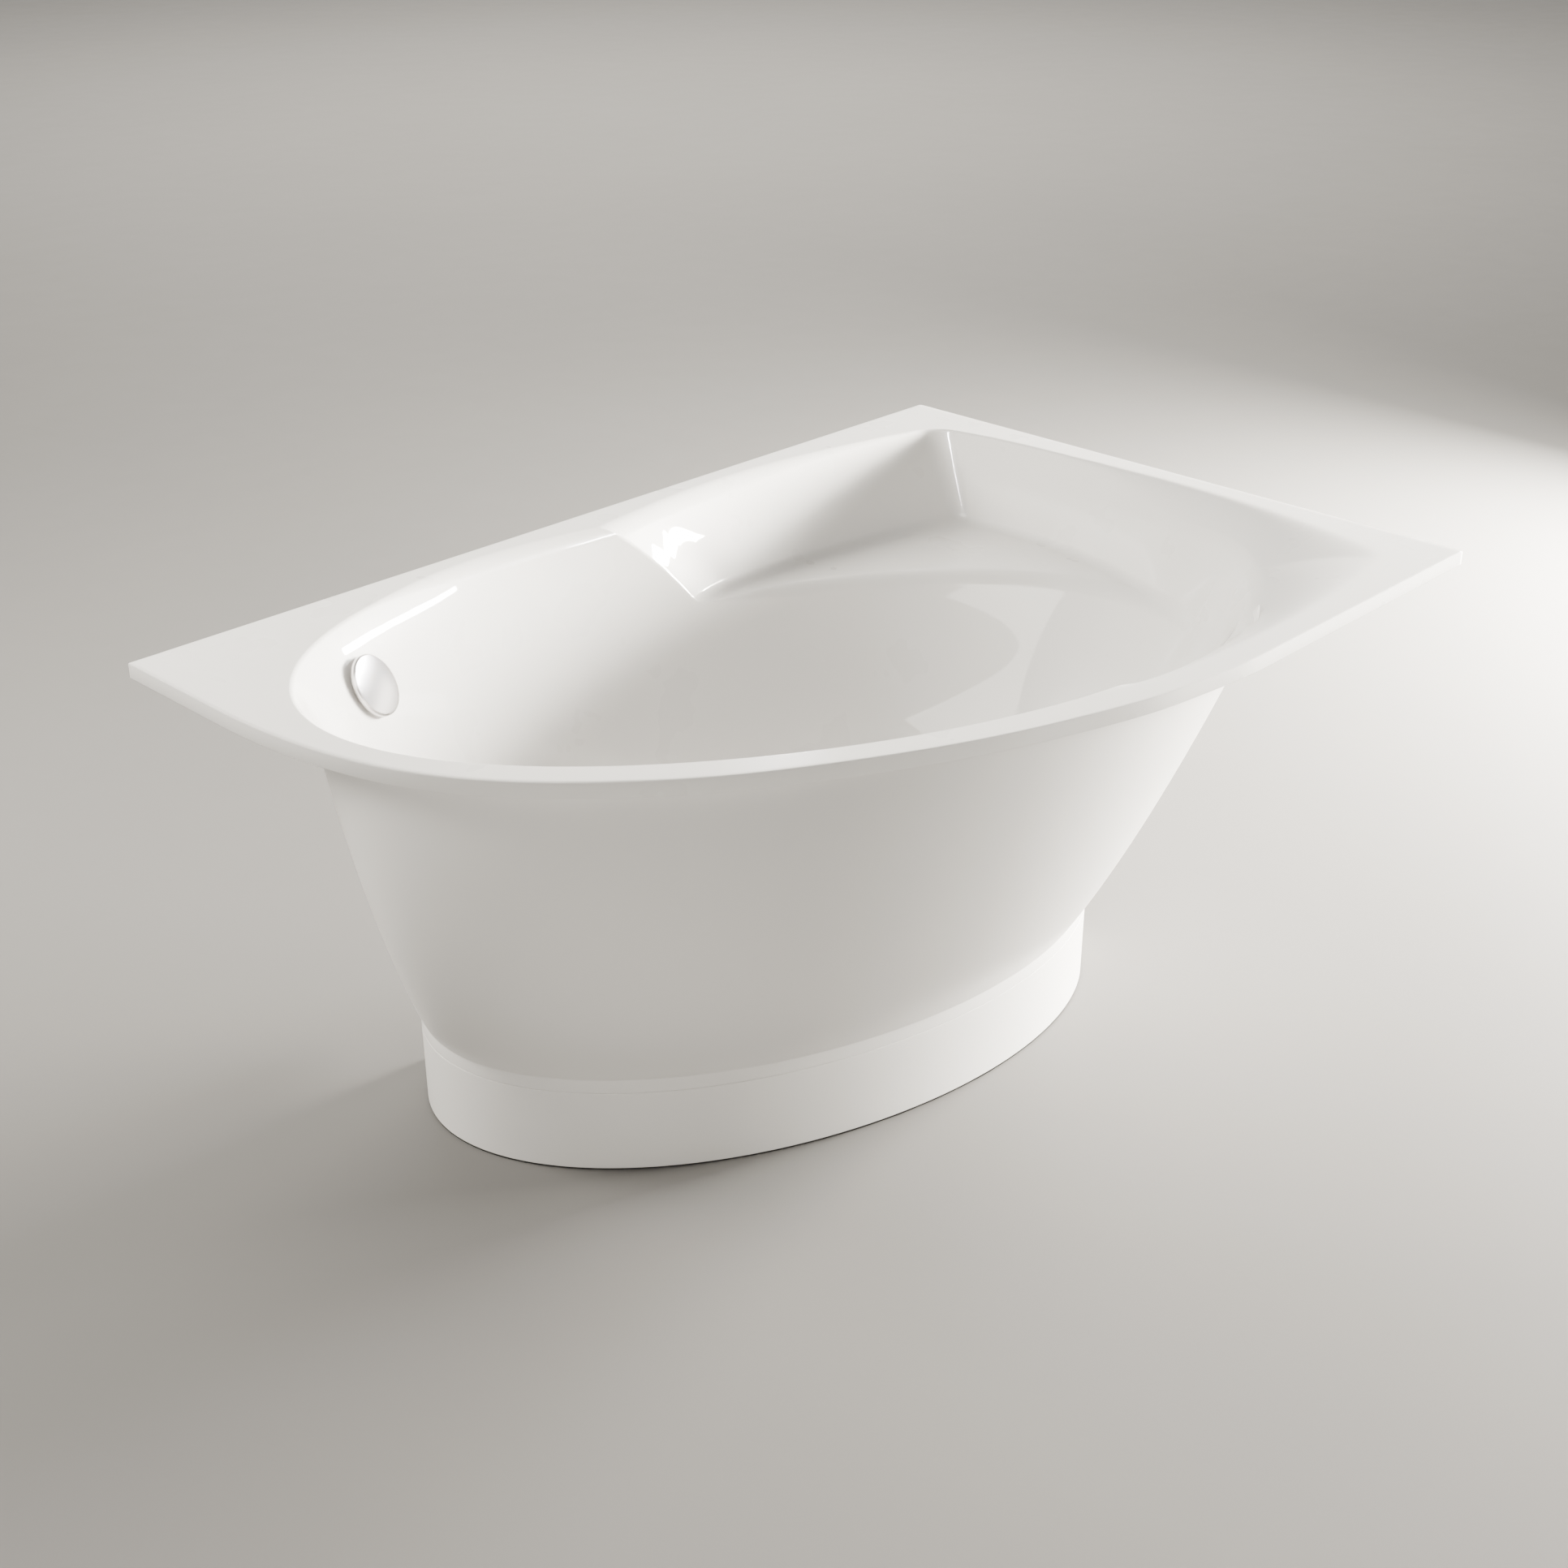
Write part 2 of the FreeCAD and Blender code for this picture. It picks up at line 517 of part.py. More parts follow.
# ---------------------------------------------------------------- hose and cable routes: straight runs joined by tangent arcs
def route_wire(pts, label):
    pts = [V(*p) for p in pts]
    edges, cur, length, radii = [], pts[0], 0.0, []
    for i in range(1, len(pts) - 1):
        a, b, c = pts[i - 1], pts[i], pts[i + 1]
        u, w = a.sub(b), c.sub(b)
        lu, lw = u.Length, w.Length
        u.normalize()
        w.normalize()
        half = (math.pi - math.acos(max(-1, min(1, u.dot(w))))) / 2
        tl = 0.45 * min(lu, lw)
        r = tl / math.tan(half)
        radii.append(round(r, 1))
        p1, p2 = b + u * tl, b + w * tl
        mid_dir = (u + w)
        mid_dir.normalize()
        mid = b + mid_dir * (r / math.cos(half) - r)
        edges.append(Part.LineSegment(cur, p1).toShape())
        edges.append(Part.Arc(p1, mid, p2).toShape())
        cur = p2
    edges.append(Part.LineSegment(cur, pts[-1]).toShape())
    wire = Part.Wire(edges)
    print(label, "length %.0f radii %s" % (wire.Length, radii))
    return wire


def tube(wire, r):
    e = wire.Edges[0]
    p, d = e.valueAt(e.FirstParameter), e.tangentAt(e.FirstParameter)
    c = Part.Wire([Part.makeCircle(r, p, d)])
    s = wire.makePipeShell([c], True, False)
    print("   volume %.0f against %.0f" % (s.Volume, math.pi * r * r * wire.Length))
    return s


ds = norm((-0.3, 0.954, 0.0))
INLET_Z = 152.0
s_end = at((DRAIN[0], DRAIN[1], INLET_Z), ds, 62.0)
HOSE = [(ce[0], ce[1], stub_end), (ce[0], ce[1], 415.0), (-450.0, 335.0, 232.0), at((DRAIN[0], DRAIN[1], INLET_Z), ds, 182.0), s_end]
hw = route_wire(HOSE, "hose")
hose_out = tube(hw, 16.0)
put("overflow_hose", biggest(hose_out.cut(tube(hw, 13.0))))
n1 = cyl(22, (ce[0], ce[1], 482), (0, 0, 1), 18).cut(cyl(17.12, (ce[0], ce[1], 480), (0, 0, 1), 22))
n2 = cyl(22, at(s_end, ds, -10), ds, 20).cut(cyl(16.05, at(s_end, ds, -11), ds, 24))
put("hose_nuts", Part.Compound([n1, n2]))

dc = norm((0.177, 0.984, 0.0))
CABLE_Z = 140.0
c_end = at((DRAIN[0], DRAIN[1], CABLE_Z), dc, 44.0)
CABLE = [at(gp, gl, 38.0), at(gp, gl, 74.0), (-446.0, 398.0, 385.0), (-424.0, 352.0, 280.0), (-388.0, 292.0, 192.0),
         at((DRAIN[0], DRAIN[1], CABLE_Z), dc, 124.0), c_end]
cw = route_wire(CABLE, "cable")
cable = tube(cw, 2.5)
put("bowden_cable", cable)
clips = []
hose_free, cable_free = tube(hw, 16.1), tube(cw, 2.57)
for zc in (370.0, 262.0):
    def cross(route):
        for a, b in zip(route, route[1:]):
            if min(a[2], b[2]) <= zc <= max(a[2], b[2]) and abs(a[2] - b[2]) > 1:
                f = (zc - a[2]) / (b[2] - a[2])
                return tuple(a[i] + f * (b[i] - a[i]) for i in range(3)), norm(tuple(b[i] - a[i] for i in range(3)))
    (hp, hd), (cp, cd) = cross(HOSE), cross(CABLE)
    link = norm(tuple(cp[i] - hp[i] for i in range(3)))
    dist = math.dist(cp, hp)
    c = cyl(18.5, at(hp, hd, -5), hd, 10).fuse(cyl(5.0, at(cp, cd, -5), cd, 10)).fuse(cyl(2.5, hp, link, dist))
    clips.append(biggest(c.cut(hose_free).cut(cable_free)))
put("cable_clips", Part.Compound(clips))

# ---------------------------------------------------------------- pop-up waste
X, Y = DRAIN
up = (0, 0, 1)
fl = cyl(35, (X, Y, 190), up, 3).fuse(cyl(24.5, (X, Y, 168), up, 23)).cut(cyl(21, (X, Y, 160), up, 40))
spid = [cyl(7, (X, Y, 176), up, 6)] + [oriented_box((X, Y), (math.cos(a), math.sin(a)), 3, 22.5, 1.5, 176, 182) for a in (math.radians(30), math.radians(150), math.radians(270))]
fl = fl.fuse(spid).cut(cyl(3.05, (X, Y, 160), up, 40))
edge = [e for e in fl.Edges if e.BoundBox.ZMin > 192.9 and abs(e.Length - 2 * math.pi * 35) < 1]
try:
    f2 = fl.makeFillet(1.2, edge)
    fl = f2 if f2.isValid() else fl
except Exception:
    pass
put("waste_flange", biggest(fl))
put("waste_gasket", cyl(37, (X, Y, 181.5), up, 3.5).cut(cyl(26.2, (X, Y, 180), up, 8)))
wb = cyl(37, (X, Y, 177), up, 4.5).fuse(cyl(30, (X, Y, 121), up, 58)).fuse(cyl(21, (X, Y, 99), up, 24))
wb = wb.fuse(cyl(16, (X, Y, INLET_Z), ds, 62)).fuse(cyl(6, (X, Y, CABLE_Z), dc, 44))
wb = wb.cut(cyl(24.7, (X, Y, 160), up, 30)).cut(cyl(25, (X, Y, 125), up, 40)).cut(cyl(17, (X, Y, 90), up, 60))
wb = wb.cut(cyl(12.5, (X, Y, INLET_Z), ds, 70)).cut(cyl(1.5, (X, Y, CABLE_Z), dc, 50))
PIV = (X - ROCKER_ARM, Y, 147.5)
pin = cyl(2.0, (PIV[0], Y - 19, PIV[2]), (0, 1, 0), 38)
wb = wb.cut(pin)
put("waste_body", biggest(wb))
put("rocker_pin", pin)
lev = Part.makeBox(4 + 20.5, 6, 4, V(PIV[0] - 4, Y - 3, 145.5)).fuse(cyl(4.0, (PIV[0], Y - 5, PIV[2]), (0, 1, 0), 10))
lev = lev.cut(cyl(2.05, (PIV[0], Y - 30, PIV[2]), (0, 1, 0), 60))
put("rocker_lever", lev)
put("plug_stem", cyl(3.0, (X, Y, 150), up, 46.5))
cap = cyl(31, (X, Y, 195.5), up, 6).common(Part.makeSphere(162, V(X, Y, 200.0 - 162))).fuse(cyl(6, (X, Y, 190), up, 6)).cut(cyl(3.04, (X, Y, 150), up, 46.5))
put("plug_cap", biggest(cap))
put("plug_seal", cyl(29, (X, Y, 193.1), up, 2.4).cut(cyl(22, (X, Y, 190), up, 8)))

# ---------------------------------------------------------------- trap and outlet
d = norm((0.258, 0.966, 0.0))
zb, rb, re = 68.0, 40.0, 30.0
p0 = V(X, Y, 98.9)
p1 = V(X, Y, zb)
m1 = V(X + d[0] * rb, Y + d[1] * rb, zb - rb)
p2 = V(X + d[0] * 2 * rb, Y + d[1] * 2 * rb, zb)
p3 = V(p2.x, p2.y, OUTLET_Z - re)
c45 = math.cos(math.pi / 4)
m2 = V(p2.x + d[0] * re * (1 - c45), p2.y + d[1] * re * (1 - c45), OUTLET_Z - re + re * c45)
p4 = V(p2.x + d[0] * re, p2.y + d[1] * re, OUTLET_Z)
p5 = V(p2.x + d[0] * (re + 30), p2.y + d[1] * (re + 30), OUTLET_Z)
tw = Part.Wire([Part.LineSegment(p0, p1).toShape(), Part.Arc(p1, m1, p2).toShape(), Part.LineSegment(p2, p3).toShape(),
                Part.Arc(p3, m2, p4).toShape(), Part.LineSegment(p4, p5).toShape()])
put("trap_body", biggest(tube(tw, OUTLET_R).cut(tube(tw, OUTLET_R - 3))))
pe = (p5.x, p5.y, p5.z)
# a stop bead leaves a plain 50 mm spigot for the house drain's push-fit socket
put("outlet_pipe", cyl(OUTLET_R, pe, d, 165).fuse(cyl(22.5, at(pe, d, 111), d, 4)).cut(cyl(OUTLET_R - 3, at(pe, d, -1), d, 170)))
t1 = cyl(27, (X, Y, 90), up, 20).cut(cyl(21.05, (X, Y, 80), up, 40))
t2 = cyl(26, at(pe, d, -11), d, 22).cut(cyl(OUTLET_R + 0.05, at(pe, d, -20), d, 50))
put("trap_nuts", Part.Compound([t1, t2]))
print("outlet end", at(pe, d, 165), "axis", d)
print("overflow axis", ON, "rocker pivot", PIV, "nodes", len(nodes))
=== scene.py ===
import json
import math

import bpy
import numpy as np
from mathutils import Matrix, Vector


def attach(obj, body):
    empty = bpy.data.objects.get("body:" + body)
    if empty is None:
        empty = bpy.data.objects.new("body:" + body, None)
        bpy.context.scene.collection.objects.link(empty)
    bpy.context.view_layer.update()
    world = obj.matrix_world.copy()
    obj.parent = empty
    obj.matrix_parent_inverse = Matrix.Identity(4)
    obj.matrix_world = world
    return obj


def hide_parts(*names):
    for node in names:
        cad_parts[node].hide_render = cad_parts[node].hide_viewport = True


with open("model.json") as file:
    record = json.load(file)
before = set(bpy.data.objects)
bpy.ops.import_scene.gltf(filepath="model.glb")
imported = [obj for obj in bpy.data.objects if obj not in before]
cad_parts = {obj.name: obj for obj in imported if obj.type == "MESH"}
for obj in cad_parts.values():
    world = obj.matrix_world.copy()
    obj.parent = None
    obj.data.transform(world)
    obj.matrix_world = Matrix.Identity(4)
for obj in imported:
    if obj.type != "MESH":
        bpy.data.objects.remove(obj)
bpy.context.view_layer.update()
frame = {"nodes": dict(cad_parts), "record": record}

COLL = bpy.context.scene.collection

# ---------------------------------------------------------------- camera
cam_data = bpy.data.cameras.new("camera")
cam_data.lens = 49.987
cam_data.sensor_width = 36.0
cam_data.sensor_height = 36.0
cam_data.clip_start, cam_data.clip_end = 0.05, 60.0
cam = bpy.data.objects.new("camera", cam_data)
COLL.objects.link(cam)
_r = Vector((0.69478768, -0.71921365, -0.00134675))
_u = Vector((0.32563025, 0.31290047, 0.89222096))
_f = Vector((0.64127609, 0.62034267, -0.45159711))
cam.matrix_world = Matrix(((_r.x, _u.x, -_f.x, -1.96502), (_r.y, _u.y, -_f.y, -1.80659), (_r.z, _u.z, -_f.z, 1.70382), (0, 0, 0, 1)))
bpy.context.scene.camera = cam


# ---------------------------------------------------------------- the tub's surface, in millimetres from the room corner at rim height
# x runs along the long side (0 at the corner, -1500 at the foot end), y is 0 at the long wall and -1000 in front, z is 0 at the rim.
OVAL_Z = np.array([0.0, -135.0, -280.0, -430.0])
OVAL_P = np.array([
    [-780.03, -482.10, 686.47, 400.55, -0.312, 0.0093, -0.0190, -0.0358],
    [-790.38, -491.80, 628.34, 385.60, -0.188, 0.0095, -0.0107, 0.0065],
    [-835.0, -503.0, 545.0, 322.0, -0.240, 0.0600, 0.0100, 0.0],
    [-855.0, -480.0, 450.0, 245.0, -0.260, 0.0200, 0.0, 0.0]])
FLOOR, FLOOR_R, LEDGE = -430.0, 80.0, -135.0


def oval_params(z):
    z = np.clip(z, -440.0, 6.0)
    out = 0
    for i in range(4):
        l = 1.0
        for j in range(4):
            if i != j:
                l = l * (z - OVAL_Z[j]) / (OVAL_Z[i] - OVAL_Z[j])
        out = out + l[..., None] * OVAL_P[i]
    return out


def oval_g(x, y, z):
    """Zero on the basin wall, negative inside the basin."""
    p = oval_params(z)
    cx, cy, a, b, th, e1, e2, e3 = [p[..., k] for k in range(8)]
    dx, dy = x - cx, y - cy
    c, s = np.cos(th), np.sin(th)
    u, v = (dx * c + dy * s) / a, (-dx * s + dy * c) / b
    t = np.arctan2(v, u)
    for _ in range(2):
        m = 1 + e1 * np.cos(t) + e2 * np.sin(t) + e3 * np.sin(2 * t)
        t = np.arctan2(v / m, u)
    m = 1 + e1 * np.cos(t) + e2 * np.sin(t) + e3 * np.sin(2 * t)
    return np.sqrt(u * u + (v / m) ** 2) - 1.0, t


def oval_d(x, y, z):
    """Distance outside the basin wall, first order."""
    g, t = oval_g(x, y, z)
    h = 1.0
    gx = oval_g(x + h, y, z)[0] - g
    gy = oval_g(x, y + h, z)[0] - g
    gz = oval_g(x, y, z + h)[0] - g
    return g * h / np.sqrt(gx * gx + gy * gy + gz * gz), t


def fillet_in(a, b, r):
    """Overlap of two hollows, with their common inside corner rounded to r."""
    u, v = np.maximum(a + r, 0), np.maximum(b + r, 0)
    return np.minimum(np.maximum(a, b), -r) + np.sqrt(u * u + v * v)


def fillet_out(a, b, r):
    """Two hollows joined, with the edge left between them rounded to r."""
    u, v = np.maximum(r - a, 0), np.maximum(r - b, 0)
    return np.maximum(np.minimum(a, b), r) - np.sqrt(u * u + v * v)


def smooth(a, b, x):
    t = np.clip((x - a) / (b - a), 0, 1)
    return t * t * (3 - 2 * t)


def back_wall(x, y, z):
    lam = -z / 135.0
    x0 = -560 - 80 * (1 - lam)
    k = np.maximum(0.0, x0 - x)
    lq = np.maximum(lam, 0)
    f = (1 - lam) * (-46 - 0.00035 * (x + 480) ** 2) + lam * (-114 - 0.0003 * (x + 560) ** 2) - 0.00205 * lq * k * k
    fx = (1 - lam) * -0.0007 * (x + 480) + lam * -0.0006 * (x + 560) + 0.0041 * lq * k
    fz = ((46 + 0.00035 * (x + 480) ** 2) - (114 + 0.0003 * (x + 560) ** 2) - 0.00205 * k * k) / -135.0
    return (y - f) / np.sqrt(1 + fx * fx + fz * fz)


def right_wall(x, y, z):
    lam = -z / 135.0
    k = np.maximum(0.0, -640 - y)
    f = (1 - lam) * (-50 - 0.0006 * (y + 330) ** 2) + lam * (-90 - 0.0007 * (y + 300) ** 2) - 0.003 * k * k
    fy = (1 - lam) * -0.0012 * (y + 330) + lam * -0.0014 * (y + 300) + 0.006 * k
    fz = ((50 + 0.0006 * (y + 330) ** 2) - (90 + 0.0007 * (y + 300) ** 2)) / -135.0
    return (x - f) / np.sqrt(1 + fy * fy + fz * fz)


SHOULDER = [((-56, -300), (-59, -303)), ((-52, -340), (-57, -343)), ((-45, -420), (-62, -425)), ((-38, -520), (-75, -520)), ((-38, -620), (-98, -610)),
            ((-42, -700), (-125, -680)), ((-52, -780), (-160, -735)), ((-66, -850), (-200, -780)), ((-84, -905), (-240, -822)),
            ((-105, -928), (-270, -848)), ((-150, -938), (-305, -870)), ((-220, -949), (-350, -890)), ((-300, -957), (-400, -903)),
            ((-380, -961), (-455, -910)), ((-460, -961), (-505, -912)), ((-540, -957), (-560, -915)), ((-610, -950), (-620, -922)),
            ((-680, -940), (-690, -915))]


def spline(pts, n):
    """Smooth curve through pts (centripetal Catmull-Rom), n points per span."""
    P = np.array(pts, float)
    P = np.vstack([2 * P[0] - P[1], P, 2 * P[-1] - P[-2]])
    out = []
    for i in range(1, len(P) - 2):
        p0, p1, p2, p3 = P[i - 1:i + 3]
        t0 = 0.0
        t1 = t0 + max(np.linalg.norm(p1 - p0), 1e-6) ** 0.5
        t2 = t1 + max(np.linalg.norm(p2 - p1), 1e-6) ** 0.5
        t3 = t2 + max(np.linalg.norm(p3 - p2), 1e-6) ** 0.5
        t = np.linspace(t1, t2, n, endpoint=False)[:, None]
        a1 = (t1 - t) / (t1 - t0) * p0 + (t - t0) / (t1 - t0) * p1
        a2 = (t2 - t) / (t2 - t1) * p1 + (t - t1) / (t2 - t1) * p2
        a3 = (t3 - t) / (t3 - t2) * p2 + (t - t2) / (t3 - t2) * p3
        b1 = (t2 - t) / (t2 - t0) * a1 + (t - t0) / (t2 - t0) * a2
        b2 = (t3 - t) / (t3 - t1) * a2 + (t - t1) / (t3 - t1) * a3
        out.append((t2 - t) / (t2 - t1) * b1 + (t - t1) / (t2 - t1) * b2)
    out.append(P[-2][None])
    return np.vstack(out)


# the shoulder's fall is worked out once on a grid of its rim line and head line, as depth by plan place
SH_R = spline([p[0] for p in SHOULDER], 10)
SH_H = spline([p[1] for p in SHOULDER], 10)
GS = 3.0
GX = np.arange(-900.0, 4.0, GS)
GY = np.arange(-1002.0, -250.0, GS)


def polydist(px, py, line):
    best = np.full(px.shape, 1e9)
    for a, b in zip(line[:-1], line[1:]):
        d = b - a
        t = np.clip(((px - a[0]) * d[0] + (py - a[1]) * d[1]) / (d @ d), 0, 1)
        best = np.minimum(best, np.hypot(px - a[0] - t * d[0], py - a[1] - t * d[1]))
    return best


def side(px, py, line):
    """Positive outside the line, towards the rim: by the nearest segment's normal."""
    best, sgn = np.full(px.shape, 1e9), np.zeros(px.shape)
    for a, b in zip(line[:-1], line[1:]):
        d = b - a
        t = np.clip(((px - a[0]) * d[0] + (py - a[1]) * d[1]) / (d @ d), 0, 1)
        q = np.hypot(px - a[0] - t * d[0], py - a[1] - t * d[1])
        c = d[0] * (py - a[1]) - d[1] * (px - a[0])
        m = q < best - 1e-9
        best, sgn = np.where(m, q, best), np.where(m, np.sign(c), sgn)
    return best * sgn


def shoulder_grid():
    px, py = np.meshgrid(GX, GY, indexing="ij")
    do = side(px, py, SH_R)          # positive outside the rim line
    di = side(px, py, SH_H)          # positive outside the head line
    q = np.clip(-do, 0, None) / np.maximum(np.clip(-do, 0, None) + np.clip(di, 0, None), 1e-6)
    S = -28.0 * q ** 1.5
    w = np.maximum(-do, 20.0)
    S = np.where(di <= 0, -28.0 - 42.0 * np.minimum(-di, 60) / w, S)
    S = np.where(do >= 0, 0.0, S)
    S = np.maximum(S, -70.0)
    # it ends at the recess' right wall and where its rim line runs over the basin's edge
    south = ((-400 + (px + 300) * 107 / 260) - py) * 0.925
    S = S * smooth(0, 14, south) * smooth(-705, -655, px)
    k = np.exp(-0.5 * (np.arange(-3, 4) / 1.2) ** 2)
    k /= k.sum()
    for ax in (0, 1):
        pad = [(3, 3) if a == ax else (0, 0) for a in (0, 1)]
        T = np.pad(S, pad, mode="edge")
        S = sum(k[i] * np.take(T, np.arange(i, i + S.shape[ax]), axis=ax) for i in range(7))
    return S


SGRID = shoulder_grid()
_gx, _gy = np.gradient(SGRID, GS)
SLOPE = 1 / np.sqrt(1 + _gx ** 2 + _gy ** 2)


def cubic_w(f):
    return [-0.5 * f + f * f - 0.5 * f ** 3, 1 - 2.5 * f * f + 1.5 * f ** 3, 0.5 * f + 2 * f * f - 1.5 * f ** 3, -0.5 * f * f + 0.5 * f ** 3]


def shoulder_s(x, y):
    """Depth of the deck and the shoulder at a plan place: 0 on the flat deck."""
    i = np.clip((x - GX[0]) / GS, 1, len(GX) - 3.001)
    j = np.clip((y - GY[0]) / GS, 1, len(GY) - 3.001)
    i0, j0 = i.astype(int), j.astype(int)
    wi, wj = cubic_w(i - i0), cubic_w(j - j0)
    S = sum(wi[a] * wj[b] * SGRID[i0 + a - 1, j0 + b - 1] for a in range(4) for b in range(4))
    fi, fj = i - i0, j - j0
    n = ((SLOPE[i0, j0] * (1 - fi) + SLOPE[i0 + 1, j0] * fi) * (1 - fj) + (SLOPE[i0, j0 + 1] * (1 - fi) + SLOPE[i0 + 1, j0 + 1] * fi) * fj)
    return S, n


def field(x, y, z):
    """Negative in the air over the tub, zero on its inner surface, about the distance below it."""
    db, t = oval_d(x, y, z)
    db = fillet_in(db, FLOOR - z, FLOOR_R)
    rw = fillet_in(back_wall(x, y, z), right_wall(x, y, z), 25 - 7 * np.clip(-z / 135.0, 0, 1))
    rec = fillet_in(rw, LEDGE - z, 12.0)
    rec = np.maximum(rec, np.maximum(0.98 * (-720 - 0.2034 * (x + 110) - y), -1000 - x))     # its open side lies well inside the basin
    # where the recess meets the basin: a crisp ridge on the left that opens into the ledge's soft front edge
    f = fillet_out(db, rec, 2.0 + 15.0 * smooth(-640, -480, x))
    # deck and shoulder: crisp inner edge at the front and foot end, soft roll along the long wall and over the head end
    deg = np.degrees(t) % 360.0
    soft = smooth(62, 84, deg) * (1 - smooth(112, 140, deg))
    head = smooth(-340, -420, y) * smooth(-700, -600, x)
    S, n = shoulder_s(x, y)
    return fillet_out(f, (S - z) * n, 3.0 + 15.0 * soft + 8.0 * head)


# ---------------------------------------------------------------- rim outline
FRONT = [(-1500, -200), (-1489, -345), (-1450.5, -482), (-1402, -567), (-1301, -679.5), (-1202, -760), (-1102, -821),
         (-1000, -874), (-900, -917), (-796, -952), (-697, -978.5), (-605, -992), (-505, -1000)]


def c2_spline(P, d0, d1, n):
    """Cubic spline through P with chord-length parameters and the given end directions."""
    P = np.array(P, float)
    t = np.concatenate([[0], np.cumsum(np.linalg.norm(np.diff(P, axis=0), axis=1))])
    N = len(P)
    A = np.zeros((N, N))
    B = np.zeros((N, 2))
    A[0, 0] = A[-1, -1] = 1
    B[0], B[-1] = d0, d1
    h = np.diff(t)
    for i in range(1, N - 1):
        A[i, i - 1], A[i, i], A[i, i + 1] = h[i], 2 * (h[i - 1] + h[i]), h[i - 1]
        B[i] = 3 * (h[i] * (P[i] - P[i - 1]) / h[i - 1] + h[i - 1] * (P[i + 1] - P[i]) / h[i])
    M = np.linalg.solve(A, B)
    out = []
    for i in range(N - 1):
        u = np.linspace(0, 1, n, endpoint=False)[:, None]
        out.append((2 * u ** 3 - 3 * u ** 2 + 1) * P[i] + (u ** 3 - 2 * u ** 2 + u) * h[i] * M[i]
                   + (-2 * u ** 3 + 3 * u ** 2) * P[i + 1] + (u ** 3 - u ** 2) * h[i] * M[i + 1])
    out.append(P[-1][None])
    return np.vstack(out)


def outline(inset):
    f = c2_spline(FRONT, (0, -1), (1, 0), 12)
    d = np.gradient(f, axis=0)
    d /= np.linalg.norm(d, axis=1)[:, None]
    d[0], d[-1] = (0, -1), (1, 0)
    f = f + inset * np.column_stack([-d[:, 1], d[:, 0]])
    i = inset
    return np.vstack([[(-1500 + i, -i)], f, [(-i, -1000 + i)], [(-i, -i)]])


def ray_to(line, cx, cy, az):
    """Distance from (cx, cy) along each azimuth to the closed line."""
    P = line - np.array([cx, cy])
    Q = np.roll(P, -1, axis=0)
    dx, dy = np.cos(az)[:, None], np.sin(az)[:, None]
    ex, ey = (Q - P)[:, 0], (Q - P)[:, 1]
    den = dx * ey - dy * ex
    with np.errstate(divide="ignore", invalid="ignore"):
        r = (P[:, 0] * ey - P[:, 1] * ex) / den
        u = (P[:, 0] * dy - P[:, 1] * dx) / den
    ok = (np.abs(den) > 1e-12) & (u >= -1e-6) & (u <= 1 + 1e-6) & (r > 0)
    return np.where(ok, r, 1e9).min(1)


CX, CY, CZ = -1130.0, -400.0, 300.0       # rays start over the drain
DRAIN_R = 26.0


def azimuths(n):
    corners = np.array([math.atan2(y - CY, x - CX) for x, y in ((0, 0), (0, -1000), (-1500, 0))])
    g = np.linspace(-math.pi, math.pi, 20001)
    deg = np.degrees(g)
    w = 1.0 + 1.6 * smooth(-42, -30, deg) * (1 - smooth(48, 58, deg)) + 1.5 * smooth(22, 28, deg) * (1 - smooth(44, 50, deg)) \
        + 2.5 * np.exp(-((deg - 13.5) / 4.0) ** 2) + 1.2 * np.exp(-((deg + 26) / 4.0) ** 2)
    c = np.concatenate([[0], np.cumsum((w[1:] + w[:-1]) / 2)])
    a = np.interp(np.arange(n) / n * c[-1], c, g)
    for k in corners:                       # the nearest column goes through each rim corner exactly
        a[np.abs(a - k).argmin()] = k
    return np.sort(a)


def cast(az, el, level=0.0, s0=None):
    """Points where rays from over the drain meet the surface at the given level, el in radians below the horizon."""
    dx, dy, dz = np.cos(az)[:, None] * np.cos(el), np.sin(az)[:, None] * np.cos(el), -np.sin(el)

    def at(s):
        return field(CX + dx * s, CY + dy * s, CZ + dz * s) - level

    if s0 is None:
        s = np.full(el.shape, 250.0)
        for _ in range(16):
            s = s - 0.95 * at(s)
    else:
        s = s0
    f0 = at(s)
    s1 = s - 0.9 * f0
    for _ in range(5):
        f1 = at(s1)
        d = f1 - f0
        step = np.where(np.abs(d) > 1e-9, f1 * (s1 - s) / np.where(np.abs(d) > 1e-9, d, 1), 0)
        step = np.where(np.abs(step) > 3 * np.abs(f1) + 1e-6, 0.9 * f1 * np.where(np.abs(f1) < 30, 1, 0.5), step) if s0 is None else np.clip(step, -8, 8)
        s, f0, s1 = s1, f1, s1 - step
    f = at(s1)
    return CX + dx * s1, CY + dy * s1, CZ + dz * s1, f, s1


def gauss(v, n, sig, wrap):
    q = np.exp(-0.5 * (np.arange(-n, n + 1) / sig) ** 2)
    q /= q.sum()
    if wrap:
        T = np.concatenate([v[-n:], v, v[:n]])
        return sum(q[i] * T[i:i + len(v)] for i in range(2 * n + 1))
    T = np.pad(v, ((0, 0), (n, n)), mode="edge")
    return sum(q[i] * T[:, i:i + v.shape[1]] for i in range(2 * n + 1))


